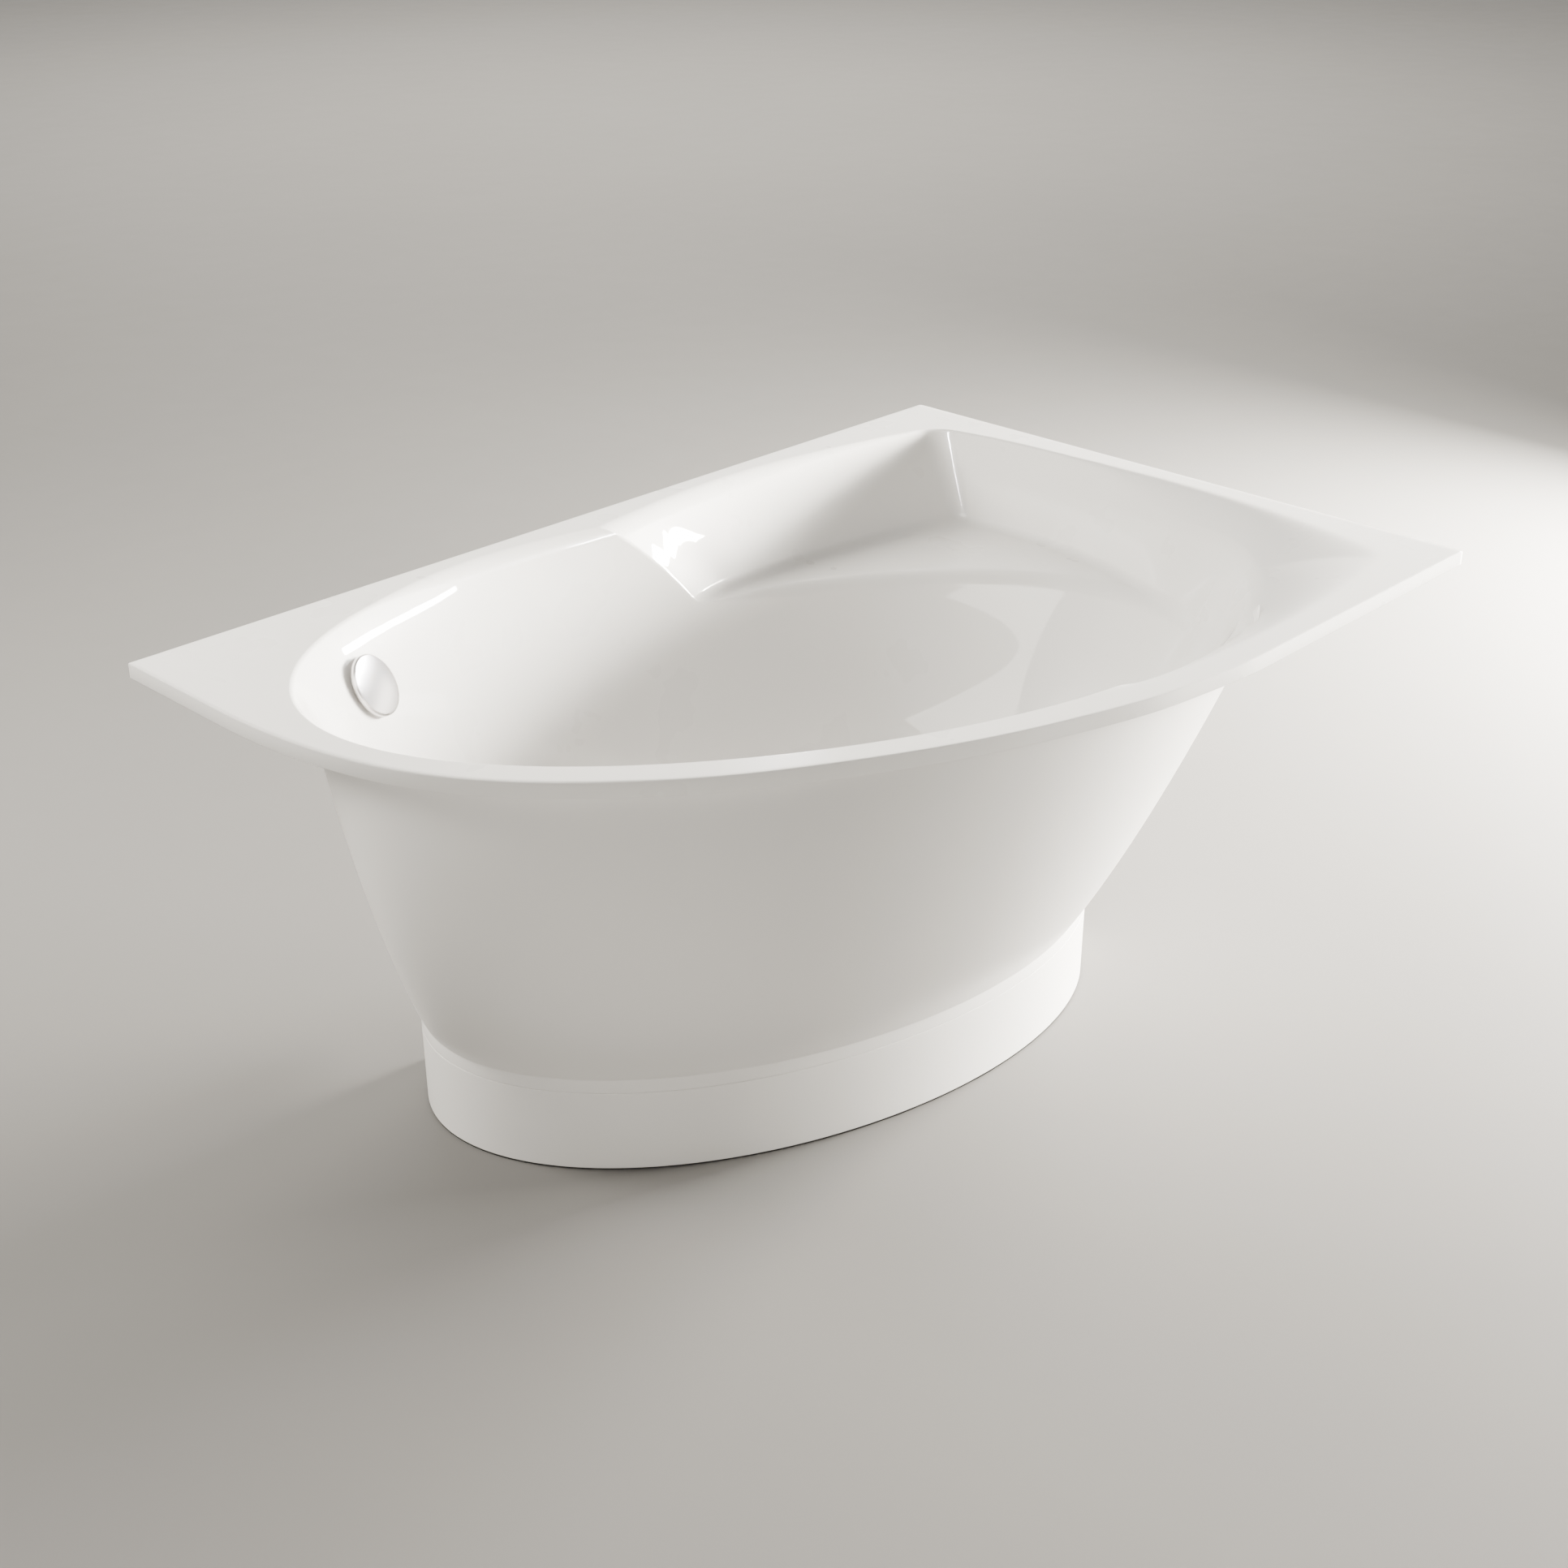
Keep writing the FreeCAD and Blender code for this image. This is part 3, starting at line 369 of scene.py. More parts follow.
def profile(az, r_end, n, level, z_end, coarse, sharp, skip=4):
    """Points by column and row: even along each profile, closer together where it turns."""
    e0 = math.atan2(CZ - (FLOOR - level), DRAIN_R)
    e1 = np.arctan2(CZ - z_end, r_end)
    sub = np.arange(0, len(az), skip)
    k = np.linspace(0, 1, coarse)[None, :]
    el = e0 + (e1[sub][:, None] - e0) * k
    x, y, z, f, s = cast(az[sub], el, level)
    r = np.hypot(x - CX, y - CY)
    dr, dz = np.diff(r, axis=1), np.diff(z, axis=1)
    ds = np.hypot(dr, dz)
    turn = np.abs(np.diff(np.unwrap(np.arctan2(dz, dr), axis=1), axis=1))
    turn = np.pad(turn, ((0, 0), (1, 1)))
    turn = gauss(0.5 * (turn[:, :-1] + turn[:, 1:]), 5, 1.6, False)
    w = ds / ds.sum(1)[:, None] * 100 + sharp * turn
    W = np.concatenate([np.zeros((len(sub), 1)), np.cumsum(w, axis=1)], axis=1)
    W /= W[:, -1:]
    g = np.arange(n) / (n - 1)
    ks = np.array([np.interp(g, W[i], k[0]) for i in range(len(sub))])       # rows as a share of the elevation span
    ks = gauss(ks, 3, 1.2, True)
    ss = np.array([np.interp(ks[i], k[0], s[i]) for i in range(len(sub))])
    # to all columns
    a2 = np.concatenate([az[sub], [az[sub][0] + 2 * math.pi]])
    ks = np.vstack([ks, ks[:1]])
    ss = np.vstack([ss, ss[:1]])
    ks = np.column_stack([np.interp(az, a2, ks[:, j]) for j in range(n)])
    ss = np.column_stack([np.interp(az, a2, ss[:, j]) for j in range(n)])
    ks[:, 0], ks[:, -1] = 0, 1
    el = e0 + (e1[:, None] - e0) * ks
    x, y, z, f, s = cast(az, el, level, ss)
    bad = np.argwhere(np.abs(f) > 0.02)
    if len(bad):                      # the few rays that graze an edge are walked down from the start
        i, j = bad[:, 0], bad[:, 1]
        dx, dy, dz = np.cos(az[i]) * np.cos(el[i, j]), np.sin(az[i]) * np.cos(el[i, j]), -np.sin(el[i, j])
        t = np.arange(250.0, 1500.0, 6.0)
        F = field(CX + dx[:, None] * t, CY + dy[:, None] * t, CZ + dz[:, None] * t) - level
        first = (F > 0).argmax(1)
        lo, hi = t[np.maximum(first - 1, 0)], t[first]
        for _ in range(14):
            m = 0.5 * (lo + hi)
            fm = field(CX + dx * m, CY + dy * m, CZ + dz * m) - level
            lo, hi = np.where(fm > 0, lo, m), np.where(fm > 0, m, hi)
        x[i, j], y[i, j], z[i, j] = CX + dx * hi, CY + dy * hi, CZ + dz * hi
        f[i, j] = fm
    P = np.stack([x, y, z], axis=-1)
    ca, sa = np.cos(az), np.sin(az)
    P[:, 0] = np.column_stack([CX + DRAIN_R * ca, CY + DRAIN_R * sa, np.full(len(az), FLOOR - level)])
    P[:, -1] = np.column_stack([CX + r_end * ca, CY + r_end * sa, np.full(len(az), z_end)])
    return P, f, len(bad)


APRON, UNDER = 5.0, 5.5
RIM_EDGE = [(1.24, -0.15), (0.586, -0.586), (0.15, -1.24), (0.0, -2.0), (0.0, -20.2), (0.23, -20.77), (0.8, -21.0), (APRON, -21.0), (APRON, -13.0)]


def tub_rings(ncol, nrow, nlow):
    """The whole shell as closed rings of points, from the drain hole's rim over the inside, round the rim edge and back underneath."""
    az = azimuths(ncol)
    P, f, nb = profile(az, ray_to(outline(2.0), CX, CY, az), nrow, 0.0, 0.0, 170, 26.0)
    edge = []
    for i, zz in RIM_EDGE:
        r = ray_to(outline(i), CX, CY, az)
        edge.append(np.column_stack([CX + r * np.cos(az), CY + r * np.sin(az), np.full(len(az), zz)]))
    Q, f2, nb2 = profile(az, ray_to(outline(APRON), CX, CY, az), nlow, UNDER, -UNDER, 120, 14.0)
    return az, P, np.stack(edge, axis=1), Q[:, ::-1], f, f2, nb, nb2

# ---------------------------------------------------------------- mesh helpers
def to_row(P):
    """From millimetres at the room corner to metres in the row frame."""
    P = np.asarray(P, float)
    return (P + np.array([750.0, 500.0, 620.0])) / 1000.0


def new_mesh(name, verts, faces, smooth_deg=35.0):
    me = bpy.data.meshes.new(name)
    verts = np.asarray(verts, float)
    faces = np.asarray(faces, dtype=np.int32)
    me.vertices.add(len(verts))
    me.vertices.foreach_set("co", verts.astype(np.float32).ravel())
    k = faces.shape[1]
    me.loops.add(faces.size)
    me.loops.foreach_set("vertex_index", faces.ravel())
    me.polygons.add(len(faces))
    me.polygons.foreach_set("loop_start", np.arange(0, faces.size, k, dtype=np.int32))
    me.polygons.foreach_set("loop_total", np.full(len(faces), k, dtype=np.int32))
    me.update(calc_edges=True)
    me.validate()
    me.shade_smooth()
    if smooth_deg:
        me.set_sharp_from_angle(angle=math.radians(smooth_deg))
    o = bpy.data.objects.new(name, me)
    COLL.objects.link(o)
    return o


def grid_faces(nu, nv, wrap_u=False, wrap_v=False, base=0, flip=False):
    """Quads of a grid of nu columns by nv rows, index = column * nv + row."""
    u = np.arange(nu if wrap_u else nu - 1)
    v = np.arange(nv if wrap_v else nv - 1)
    U, W = np.meshgrid(u, v, indexing="ij")
    a = U * nv + W
    b = ((U + 1) % nu) * nv + W
    c = ((U + 1) % nu) * nv + (W + 1) % nv
    d = U * nv + (W + 1) % nv
    f = np.stack([a, b, c, d], axis=-1).reshape(-1, 4) + base
    return f[:, ::-1] if flip else f


# ---------------------------------------------------------------- tub
NCOL, NROW, NLOW = 1200, 240, 70
az, P_in, P_edge, P_low, _f1, _f2, _n1, _n2 = tub_rings(NCOL, NROW, NLOW)
print("tub rays: worst miss %.3f %.3f mm, walked %d %d" % (np.abs(_f1).max(), np.abs(_f2).max(), _n1, _n2))
P_in[..., 2] = np.minimum(P_in[..., 2], 0.0)
ring_pts = np.concatenate([P_in, P_edge, P_low], axis=1)
nring = ring_pts.shape[1]
tub = new_mesh("tub", to_row(ring_pts).reshape(-1, 3), grid_faces(NCOL, nring, wrap_u=True, wrap_v=True), 0)
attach(tub, "root")
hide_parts("tub_shell")

# ---------------------------------------------------------------- front skirt, in millimetres of the row frame
SK_TOP = np.array([-57.638, 2.439, 660.324, 420.63, -0.261])
SK_LOW = np.array([-87.4, 40.2, 507.3, 299.3, math.radians(-15.6)])
SK_BULGE = np.array([-47.766, -39.892, -14.898, -0.68, 0.0])
FOOT_Z, SEAM_Z, TOP_Z, SKIN = 137.54, 118.0, 598.5, 3.5


def skirt_xy(z, t, inset):
    s = np.minimum((599.0 - z) / (599.0 - FOOT_Z), 1.0)
    w = 4 * s * (1 - s)
    cx, cy, a, b, th = [SK_TOP[k] * (1 - s) + SK_LOW[k] * s + SK_BULGE[k] * w for k in range(5)]
    a, b = a - inset, b - inset
    ct, st = np.cos(t), np.sin(t)
    bb = b * (1 + 0.158 * (1 - s) * ct)
    return cx + a * ct * np.cos(th) - bb * st * np.sin(th), cy + a * ct * np.sin(th) + bb * st * np.cos(th)


def in_front(x, y):
    return 302.0 - 0.4907 * (x + 470.0) - y


GROWN = 6.5                       # the skirt keeps clear of the basin's underside by this much from its inner face


def span_at(z):
    """Where the skirt starts and ends at this height: at the service plane."""
    t = np.radians(np.arange(120.0, 400.0, 0.02))
    x, y = skirt_xy(np.full(t.shape, z), t, 0.0)
    h = in_front(x, y)
    m = np.abs(np.degrees(t) - 260).argmin()
    i = np.where(h[:m] <= 0)[0][-1]
    k = m + np.where(h[m:] <= 0)[0][0]
    return t[i] + (t[i + 1] - t[i]) * h[i] / (h[i] - h[i + 1]), t[k - 1] + (t[k] - t[k - 1]) * h[k - 1] / (h[k - 1] - h[k])


def basin_gap(x, y, z):
    return oval_d(x - 750, y - 500, z - 620.0)[0]


def skirt_shell(name, zs, ncol, insets_out, skin, fit=True):
    """Skirt or plinth wall: outer face down, round the lower edge, inner face up. Its top follows the basin where that comes out to it."""
    zs = np.array(zs, float)
    u = np.linspace(0, 1, ncol)
    zf = np.linspace(zs.min() - 0.01, zs.max() + 0.01, 240)
    sp = np.array([span_at(z) for z in zf])

    def angles(Z):
        a, b = np.interp(Z, zf, sp[:, 0]), np.interp(Z, zf, sp[:, 1])
        return a + (b - a) * u

    Z = np.repeat(zs[:, None], ncol, axis=1)
    if fit:
        zg = np.linspace(200.0, zs.max(), 500)
        G = np.repeat(zg[:, None], ncol, axis=1)
        gx, gy = skirt_xy(G, angles(G), 0.0)
        ok = basin_gap(gx, gy, G) > GROWN + 0.45
        top = np.where(ok.all(0), zs.max(), zg[np.maximum(np.argmin(ok, axis=0) - 1, 0)])
        base = 200.0
        Z = np.where(Z > base, base + (Z - base) * (top - base) / (zs.max() - base), Z)
    T = angles(Z)
    ins = np.asarray(insets_out)[:, None] + np.zeros(ncol)
    xo, yo = skirt_xy(Z, T, ins)
    sk = np.full(Z.shape, float(skin))
    if fit:
        sk = np.clip(basin_gap(*skirt_xy(Z, T, 0.0), Z) - GROWN, 0.4, skin)
    xi, yi = skirt_xy(Z, T, np.maximum(sk, ins + 0.3))
    O = np.stack([xo, yo, Z], axis=-1)
    I = np.stack([xi, yi, Z], axis=-1)[::-1]
    R = np.concatenate([O, I], axis=0)            # rows x columns
    R = np.swapaxes(R, 0, 1)                      # columns x rows
    n = R.shape[1]
    f = [grid_faces(ncol, n, wrap_v=True, flip=False)]
    half = len(zs)
    cap = []
    for c, fl in ((0, False), (ncol - 1, True)):
        for k in range(half - 1):
            q = [c * n + k, c * n + k + 1, c * n + (n - 2 - k), c * n + (n - 1 - k)]
            cap.append(q[::-1] if fl else q)
    f.append(np.array(cap))
    return new_mesh(name, R.reshape(-1, 3) / 1000.0, np.concatenate(f), 30.0)


ncol = 420
zs = list(np.linspace(TOP_Z - 0.6, FOOT_Z + 9, 70))
zs = [TOP_Z] + zs + list(np.linspace(FOOT_Z + 7.5, FOOT_Z - 4, 12)) + [128.0, 122.0, SEAM_Z + 0.9, SEAM_Z + 0.35]
ins = np.zeros(len(zs))
ins[0] = 0.6
# the flare runs into the upright collar with a small round, kept inside both
for k, z in enumerate(zs):
    d = z - FOOT_Z
    if abs(d) < 7.5:
        ins[k] = 0.55 * (1 - (d / 7.5) ** 2) ** 2
ins[-1] = 0.55
skirt = skirt_shell("skirt", zs, ncol, ins, SKIN)
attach(skirt, "root")
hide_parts("front_skirt")

zp = [SEAM_Z - 0.1, SEAM_Z - 0.7, 110.0] + list(np.linspace(100, 12, 10)) + [6.0, 3.3, 2.6]
ip = np.zeros(len(zp))
ip[0], ip[-1] = 0.55, 0.5
plinth = skirt_shell("plinth", zp, ncol, ip, SKIN, False)
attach(plinth, "root")
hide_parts("plinth_ring")

# ---------------------------------------------------------------- overflow cap
N = Vector((0.388, -0.778, 0.494)).normalized()
OP = Vector((-0.4935, 0.3587, 0.5468))
EX = N.cross(Vector((0, 0, 1))).normalized()
EY = N.cross(EX).normalized()


def lathe(name, profile, n=128, origin=OP, ax=(EX, EY, N), closed=True, deg=32.0):
    """Turned piece: profile is a list of (radius, height) in millimetres; radius 0 closes it on the axis."""
    ex, ey, ez = ax
    verts, faces, rings = [], [], []
    for r, h in profile:
        if r < 1e-6:
            rings.append([len(verts)])
            verts.append(origin + ez * (h / 1000))
        else:
            ids = []
            for k in range(n):
                a = 2 * math.pi * k / n
                ids.append(len(verts))
                verts.append(origin + (ex * math.cos(a) + ey * math.sin(a)) * (r / 1000) + ez * (h / 1000))
            rings.append(ids)
    pairs = list(zip(rings, rings[1:])) + ([(rings[-1], rings[0])] if closed and len(rings[0]) > 1 and len(rings[-1]) > 1 else [])
    me = bpy.data.meshes.new(name)
    for a, b in pairs:
        for k in range(n):
            k2 = (k + 1) % n
            if len(a) == 1 and len(b) == 1:
                continue
            if len(a) == 1:
                faces.append((a[0], b[k], b[k2]))
            elif len(b) == 1:
                faces.append((a[k], b[0], a[k2]))
            else:
                faces.append((a[k], b[k], b[k2], a[k2]))
    me.from_pydata([tuple(v) for v in verts], [], faces)
    me.validate()
    me.update()
    me.shade_smooth()
    me.set_sharp_from_angle(angle=math.radians(deg))
    o = bpy.data.objects.new(name, me)
    COLL.objects.link(o)
    return o


def arc(cx, cy, r, a0, a1, n):
    return [(cx + r * math.cos(math.radians(a0 + (a1 - a0) * k / n)), cy + r * math.sin(math.radians(a0 + (a1 - a0) * k / n))) for k in range(n + 1)]


# domed face with a rolled edge, a step round the rim and a turned-in back, hollow behind
dome = [(0.0, 14.3)] + [(r, 14.3 - 2.05 * (r / 40.0) ** 2) for r in np.linspace(3, 39.4, 18)]
cap_prof = dome + arc(39.9, 10.9, 1.35, 92, 20, 6) + arc(40.9, 9.6, 1.55, 50, 0, 5) + [(42.45, 8.0), (42.45, 6.1)] + arc(41.75, 5.95, 0.7, 0, -90, 4) \
    + [(39.4, 5.25), (38.6, 5.9), (38.5, 8.4), (9.0, 8.4), (9.0, 5.4), (4.1, 5.4), (4.1, 8.2), (0.0, 8.2)]
knob = lathe("overflow_cap", cap_prof, 160, closed=False)
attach(knob, "knob")
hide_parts("overflow_knob")


# ---------------------------------------------------------------- ribbed overflow hose and control cable along their real routes
def spline_points(name, pts, per_run=120):
    """Points of one smooth line that has the route's points as its controls, in millimetres."""
    cu = bpy.data.curves.new(name, "CURVE")
    cu.dimensions = "3D"
    sp = cu.splines.new("NURBS")
    sp.points.add(len(pts) - 1)
    for p, q in zip(sp.points, pts):
        p.co = (q[0] / 1000.0, q[1] / 1000.0, q[2] / 1000.0, 1.0)
    sp.order_u = 3
    sp.use_endpoint_u = True
    sp.resolution_u = per_run
    line = bpy.data.objects.new(name, cu)
    me = bpy.data.meshes.new_from_object(line)
    out = np.array([v.co[:] for v in me.vertices]) * 1000.0
    bpy.data.objects.remove(line)
    bpy.data.curves.remove(cu)
    bpy.data.meshes.remove(me)
    return out


def tube_mesh(name, path, radius, nseg=24, bore=None):
    """Tube about a path; radius is one number per point. With a bore it is open at both ends."""
    T = np.gradient(path, axis=0)
    T /= np.linalg.norm(T, axis=1)[:, None]
    u = np.cross(T[0], [0.3, 0.5, 0.8])
    u /= np.linalg.norm(u)
    rows_o, rows_i = [], []
    for p, t, r in zip(path, T, radius):
        u = u - t * (u @ t)
        u /= np.linalg.norm(u)
        v = np.cross(t, u)
        a = 2 * math.pi * np.arange(nseg) / nseg
        ring = np.cos(a)[:, None] * u + np.sin(a)[:, None] * v
        rows_o.append(p + ring * r)
        rows_i.append(p + ring * (bore if bore else 0))
    R = np.array(rows_o + rows_i[::-1])            # rows x segments
    R = np.swapaxes(R, 0, 1)
    return new_mesh(name, R.reshape(-1, 3) / 1000.0, grid_faces(nseg, R.shape[1], wrap_u=True, wrap_v=True, flip=True), 50.0)


_n = np.array(N)
_op = np.array(OP) * 1000
ce = _op - _n * 31
ds = np.array([-0.3, 0.954, 0.0])
ds /= np.linalg.norm(ds)
dc = np.array([0.177, 0.984, 0.0])
dc /= np.linalg.norm(dc)
dr = np.array([-380.0, 100.0, 0.0])
UP = np.array([0.0, 0.0, 1.0])
HOSE = [(ce[0], ce[1], 491.5), (ce[0], ce[1], 415.0), (-450.0, 335.0, 232.0), tuple(dr + UP * 152 + ds * 182), tuple(dr + UP * 152 + ds * 62)]
hp = spline_points("hose_line", HOSE)
hl = np.concatenate([[0], np.cumsum(np.linalg.norm(np.diff(hp, axis=0), axis=1))])
rib = 0.5 + 0.5 * np.cos(2 * math.pi * hl / 5.6)
ends = np.clip(np.minimum(hl, hl[-1] - hl) / 14.0, 0, 1)
rad = 15.9 - 1.9 * (1 - rib ** 0.7) * (ends > 0.99)
hose = tube_mesh("ribbed_hose", hp, rad, 40, 13.0)
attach(hose, "root")
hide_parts("overflow_hose")

gl = np.array([0.63, 0.31, -0.71])
gl /= np.linalg.norm(gl)
gp = _op - _n * 36
CABLE = [tuple(gp + gl * 38), tuple(gp + gl * 74), (-446.0, 398.0, 385.0), (-424.0, 352.0, 280.0), (-388.0, 292.0, 192.0),
         tuple(dr + UP * 140 + dc * 124), tuple(dr + UP * 140 + dc * 44)]
kp = spline_points("cable_line", CABLE, 40)
cable = tube_mesh("cable_casing", kp, np.full(len(kp), 2.5), 16, 1.5)
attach(cable, "root")
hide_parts("bowden_cable")


# ---------------------------------------------------------------- materials
def material(name, base, rough, metal=0.0, coat=0.0, coat_rough=0.03, spec=0.5, ior=1.49, bump=0.0, bump_scale=60.0, var=0.02, var_scale=3.0,
             rough_var=0.03, rough_scale=8.0, streak=None, speck=0.0, sss=0.0):
    m = bpy.data.materials.new(name)
    m.use_nodes = True
    nt = m.node_tree
    b = nt.nodes["Principled BSDF"]
    b.inputs["Metallic"].default_value = metal
    b.inputs["IOR"].default_value = ior
    b.inputs["Specular IOR Level"].default_value = spec
    b.inputs["Coat Weight"].default_value = coat
    b.inputs["Coat Roughness"].default_value = coat_rough
    b.inputs["Coat IOR"].default_value = 1.5
    if sss:
        b.inputs["Subsurface Weight"].default_value = sss
        b.inputs["Subsurface Radius"].default_value = (0.012, 0.011, 0.010)
    tc = nt.nodes.new("ShaderNodeTexCoord")
    mp = nt.nodes.new("ShaderNodeMapping")
    nt.links.new(tc.outputs["Object"], mp.inputs["Vector"])
    if streak:
        mp.inputs["Scale"].default_value = streak
    n1 = nt.nodes.new("ShaderNodeTexNoise")
    n1.inputs["Scale"].default_value = var_scale
    n1.inputs["Detail"].default_value = 4.0
    nt.links.new(mp.outputs["Vector"], n1.inputs["Vector"])
    cr = nt.nodes.new("ShaderNodeValToRGB")
    lo = [max(0.0, c * (1 - var)) for c in base]
    hi = [min(1.0, c * (1 + var)) for c in base]
    cr.color_ramp.elements[0].position, cr.color_ramp.elements[1].position = 0.3, 0.7
    cr.color_ramp.elements[0].color = (*lo, 1)
    cr.color_ramp.elements[1].color = (*hi, 1)
    nt.links.new(n1.outputs["Fac"], cr.inputs["Fac"])
    col = cr.outputs["Color"]
    if speck:
        n3 = nt.nodes.new("ShaderNodeTexVoronoi")
        n3.inputs["Scale"].default_value = 160.0
        nt.links.new(tc.outputs["Object"], n3.inputs["Vector"])
        r3 = nt.nodes.new("ShaderNodeValToRGB")
        r3.color_ramp.elements[0].position, r3.color_ramp.elements[1].position = 0.0, 0.6
        r3.color_ramp.elements[0].color = (*[c * (1 - speck) for c in base], 1)
        r3.color_ramp.elements[1].color = (1, 1, 1, 1)
        nt.links.new(n3.outputs["Distance"], r3.inputs["Fac"])
        mx = nt.nodes.new("ShaderNodeMix")
        mx.data_type, mx.blend_type = "RGBA", "MULTIPLY"
        mx.inputs["Factor"].default_value = 0.7
        nt.links.new(col, mx.inputs["A"])
        nt.links.new(r3.outputs["Color"], mx.inputs["B"])
        col = mx.outputs["Result"]
    nt.links.new(col, b.inputs["Base Color"])
    n2 = nt.nodes.new("ShaderNodeTexNoise")
    n2.inputs["Scale"].default_value = rough_scale
    n2.inputs["Detail"].default_value = 3.0
    nt.links.new(mp.outputs["Vector"], n2.inputs["Vector"])
    mr = nt.nodes.new("ShaderNodeMapRange")
    mr.inputs["To Min"].default_value = max(0.0, rough - rough_var)
    mr.inputs["To Max"].default_value = min(1.0, rough + rough_var)
    nt.links.new(n2.outputs["Fac"], mr.inputs["Value"])
    nt.links.new(mr.outputs["Result"], b.inputs["Roughness"])
    if bump:
        n4 = nt.nodes.new("ShaderNodeTexNoise")
        n4.inputs["Scale"].default_value = bump_scale
        n4.inputs["Detail"].default_value = 2.0
        nt.links.new(mp.outputs["Vector"], n4.inputs["Vector"])
        bp = nt.nodes.new("ShaderNodeBump")
        bp.inputs["Strength"].default_value = 1.0
        bp.inputs["Distance"].default_value = bump
        nt.links.new(n4.outputs["Fac"], bp.inputs["Height"])
        nt.links.new(bp.outputs["Normal"], b.inputs["Normal"])
    return m


MAT = {
    "acrylic_tub": material("acrylic_tub", (0.83, 0.818, 0.80), 0.28, coat=1.0, coat_rough=0.02, spec=0.35, bump=0.00002, bump_scale=26.0, var=0.008, rough_var=0.03),
    "acrylic_skirt": material("acrylic_skirt", (0.80, 0.785, 0.765), 0.30, coat=0.25, coat_rough=0.18, bump=0.00002, bump_scale=22.0, var=0.01, rough_var=0.04),
    "acrylic_plinth": material("acrylic_plinth", (0.80, 0.785, 0.765), 0.32, coat=0.2, coat_rough=0.2, bump=0.00002, bump_scale=22.0, var=0.01, rough_var=0.04),
    "dark_rubber": material("dark_rubber", (0.022, 0.021, 0.020), 0.7, bump=0.00008, bump_scale=500.0, var=0.2, var_scale=40.0),
    "grey_plastic": material("grey_plastic", (0.42, 0.42, 0.42), 0.5, bump=0.00006, bump_scale=400.0, var=0.05, var_scale=30.0),
    "board": material("board", (0.42, 0.29, 0.17), 0.75, bump=0.0004, bump_scale=120.0, var=0.25, var_scale=70.0, speck=0.45),
    "galvanised": material("galvanised", (0.55, 0.57, 0.59), 0.38, metal=1.0, bump=0.00006, bump_scale=60.0, var=0.14, var_scale=55.0, rough_var=0.12, rough_scale=60.0),
    "zinc": material("zinc", (0.66, 0.67, 0.66), 0.28, metal=1.0, bump=0.00004, bump_scale=300.0, var=0.08, var_scale=90.0, rough_var=0.08, rough_scale=90.0),
    "satin_chrome": material("satin_chrome", (0.80, 0.775, 0.77), 0.21, metal=1.0, bump=0.00001, bump_scale=900.0, var=0.02, var_scale=60.0, rough_var=0.03, rough_scale=200.0),
    "brass": material("brass", (0.70, 0.50, 0.22), 0.3, metal=1.0, bump=0.00003, bump_scale=300.0, var=0.06, var_scale=80.0, streak=(1, 1, 8)),
    "white_plastic": material("white_plastic", (0.78, 0.78, 0.76), 0.42, bump=0.00005, bump_scale=300.0, var=0.03, var_scale=20.0),
    "hose_plastic": material("hose_plastic", (0.70, 0.72, 0.73), 0.36, bump=0.00004, bump_scale=300.0, var=0.04, var_scale=30.0),
    "black_plastic": material("black_plastic", (0.03, 0.03, 0.032), 0.45, bump=0.00008, bump_scale=500.0, var=0.15, var_scale=60.0),
}
slot_of = {s["node"]: s["material_slot"] for s in frame["record"]["subparts"]}
for name, o in frame["nodes"].items():
    o.data.materials.clear()
    o.data.materials.append(MAT[slot_of[name]])
for o, s in ((tub, "acrylic_tub"), (skirt, "acrylic_skirt"), (plinth, "acrylic_plinth"), (knob, "satin_chrome"), (hose, "hose_plastic"), (cable, "black_plastic")):
    o.data.materials.append(MAT[s])

# ---------------------------------------------------------------- floor and light
fm = bpy.data.meshes.new("floor")
fm.from_pydata([(-14, -14, 0), (14, -14, 0), (14, 14, 0), (-14, 14, 0)], [], [(0, 1, 2, 3)])
floor = bpy.data.objects.new("floor", fm)
COLL.objects.link(floor)
floor_mat = material("floor_pale", (0.13, 0.1265, 0.122), 0.55, var=0.015, var_scale=1.2, rough_var=0.04)
fm.materials.append(floor_mat)

world = bpy.data.worlds.new("studio")
bpy.context.scene.world = world
world.use_nodes = True
bg = world.node_tree.nodes["Background"]
bg.inputs["Color"].default_value = (1.0, 0.965, 0.905, 1)
bg.inputs["Strength"].default_value = 1.2
world.cycles_visibility.diffuse = False


def area(name, pos, target, size, power, color=(1, 0.957, 0.868), size_y=None, mirror=False, spread=180.0):
    """A soft panel. With mirror it is only seen as a reflection, otherwise it only lights."""
    l = bpy.data.lights.new(name, "AREA")
    l.shape = "RECTANGLE"
    l.size, l.size_y = size, size_y or size
    l.energy = power
    l.color = color
    l.spread = math.radians(spread)
    o = bpy.data.objects.new(name, l)
    o.location = pos
    o.rotation_euler = (Vector(target) - Vector(pos)).to_track_quat("-Z", "Y").to_euler()
    o.visible_camera = False
    o.visible_glossy = mirror
    o.visible_diffuse = not mirror
    COLL.objects.link(o)
    return o


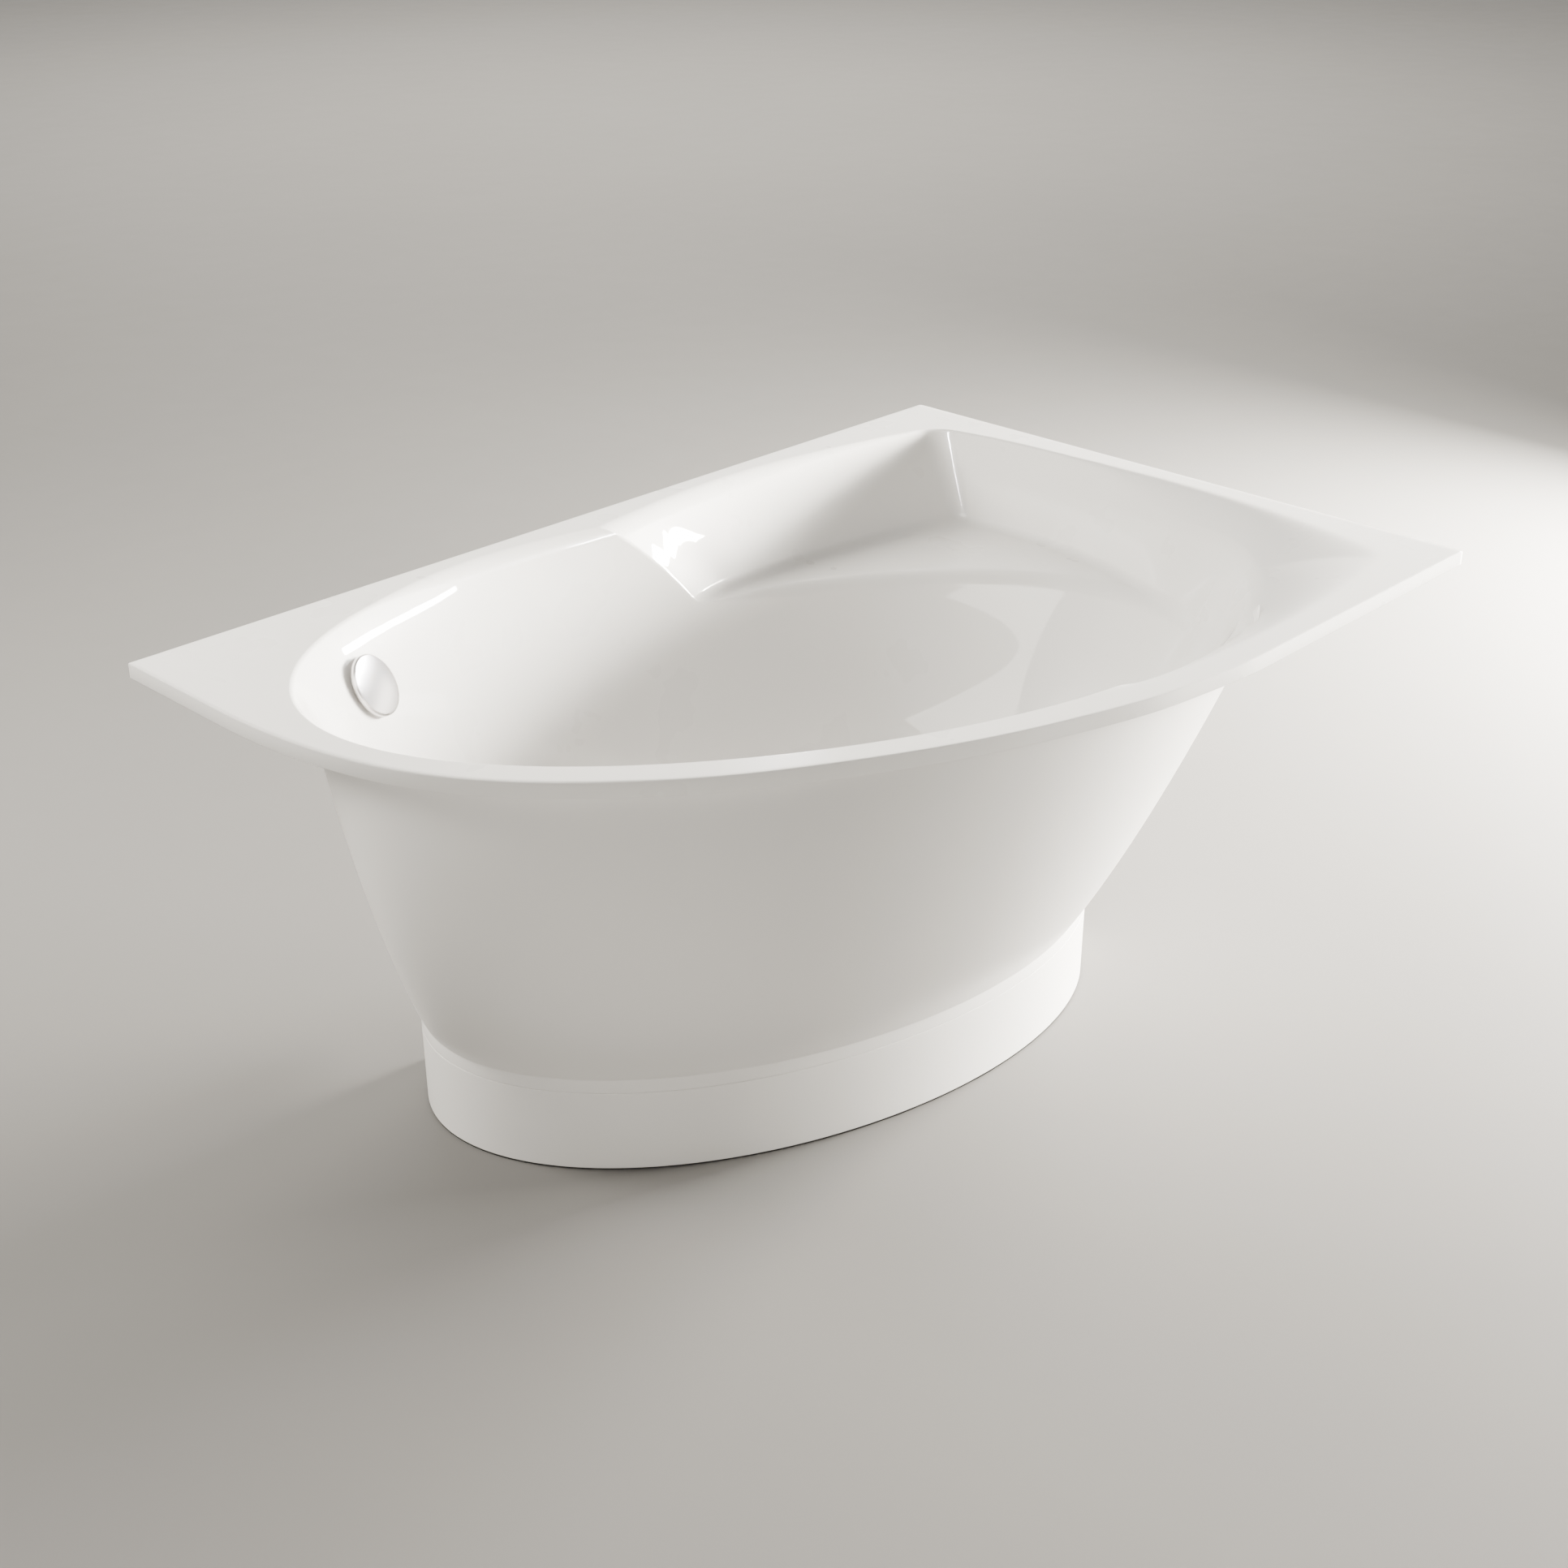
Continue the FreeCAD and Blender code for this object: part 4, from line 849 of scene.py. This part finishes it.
area("far_overhead", (5.000, 5.500, 4.500), (5, 5.51, 0), 6.00, 1742.0, size_y=6.00)
area("key_right", (2.792, -1.016, 0.818), (0, 0, 0.4), 0.70, 1003.8, size_y=0.70)
area("key_right_back", (2.959, -0.259, 0.818), (0, 0, 0.4), 0.70, 941.0, size_y=0.70)
area("key_right_front", (2.434, -1.704, 0.818), (0, 0, 0.4), 0.70, 375.7, size_y=0.70)
area("rear_left", (-1.670, 1.990, 1.900), (0, 0, 0.4), 1.10, 175.2, size_y=1.10)
area("front_low", (-2.660, -1.240, 1.024), (0, 0, 0.4), 0.90, 28.0, size_y=0.90)
area("front_fill", (-1.683, -2.404, 1.024), (0, 0, 0.4), 1.20, 18.0)
area("rear", (2.128, 1.490, 1.900), (0, 0, 0.4), 1.10, 24.3, size_y=1.10)
area("rear_high", (-0.131, 1.494, 2.998), (0, 0, 0.4), 1.10, 21.7, size_y=1.10)
area("ceiling_reflection", (-1.95, -0.8, 3.0), (-1.95, -0.79, 0), 2.0, 95, size_y=1.9, mirror=True)


def card(name, centre, aim, outline, strength):
    """A small bright reflector of a free shape, seen only as a highlight in the gloss coat."""
    n = (Vector(aim) - Vector(centre)).normalized()
    u = Vector((0, 0, 1)).cross(n).normalized()
    v = n.cross(u)
    me = bpy.data.meshes.new(name)
    me.from_pydata([tuple(Vector(centre) + u * a + v * b) for a, b in outline], [], [tuple(range(len(outline)))])
    m = bpy.data.materials.new(name)
    m.use_nodes = True
    nt = m.node_tree
    nt.nodes.clear()
    em = nt.nodes.new("ShaderNodeEmission")
    em.inputs["Strength"].default_value = strength
    nt.links.new(em.outputs[0], nt.nodes.new("ShaderNodeOutputMaterial").inputs["Surface"])
    me.materials.append(m)
    o = bpy.data.objects.new(name, me)
    COLL.objects.link(o)
    o.visible_camera = o.visible_diffuse = o.visible_transmission = o.visible_shadow = False
    return o


card("foot_end_highlight", (0.096, 0.19, 0.819), (-0.412, 0.417, 0.593),
     [(-0.135, -0.025), (-0.084, -0.016), (-0.04, -0.006), (0.004, -0.003), (0.048, -0.011), (0.1, -0.027),
      (0.1, -0.014), (0.048, 0.009), (0.004, 0.017), (-0.04, 0.018), (-0.084, 0.011), (-0.135, 0.001)], 320)
area("recess_highlight_left", (0.994, 0.053, 0.848), (0.069, 0.408, 0.559), 0.118, 0.12, size_y=0.038, mirror=True, spread=18)
area("recess_highlight_middle", (0.942, -0.053, 0.828), (0.094, 0.415, 0.561), 0.119, 0.075, size_y=0.019, mirror=True, spread=20)
area("recess_highlight_tip", (0.884, -0.156, 0.826), (0.141, 0.421, 0.562), 0.11, 0.08, size_y=0.014, mirror=True, spread=24)
area("right_soft_reflection", (2.9, -0.6, 0.75), (-0.45, 0.35, 0.55), 1.6, 22, size_y=0.7, mirror=True)

# ---------------------------------------------------------------- scene update
bpy.context.view_layer.update()
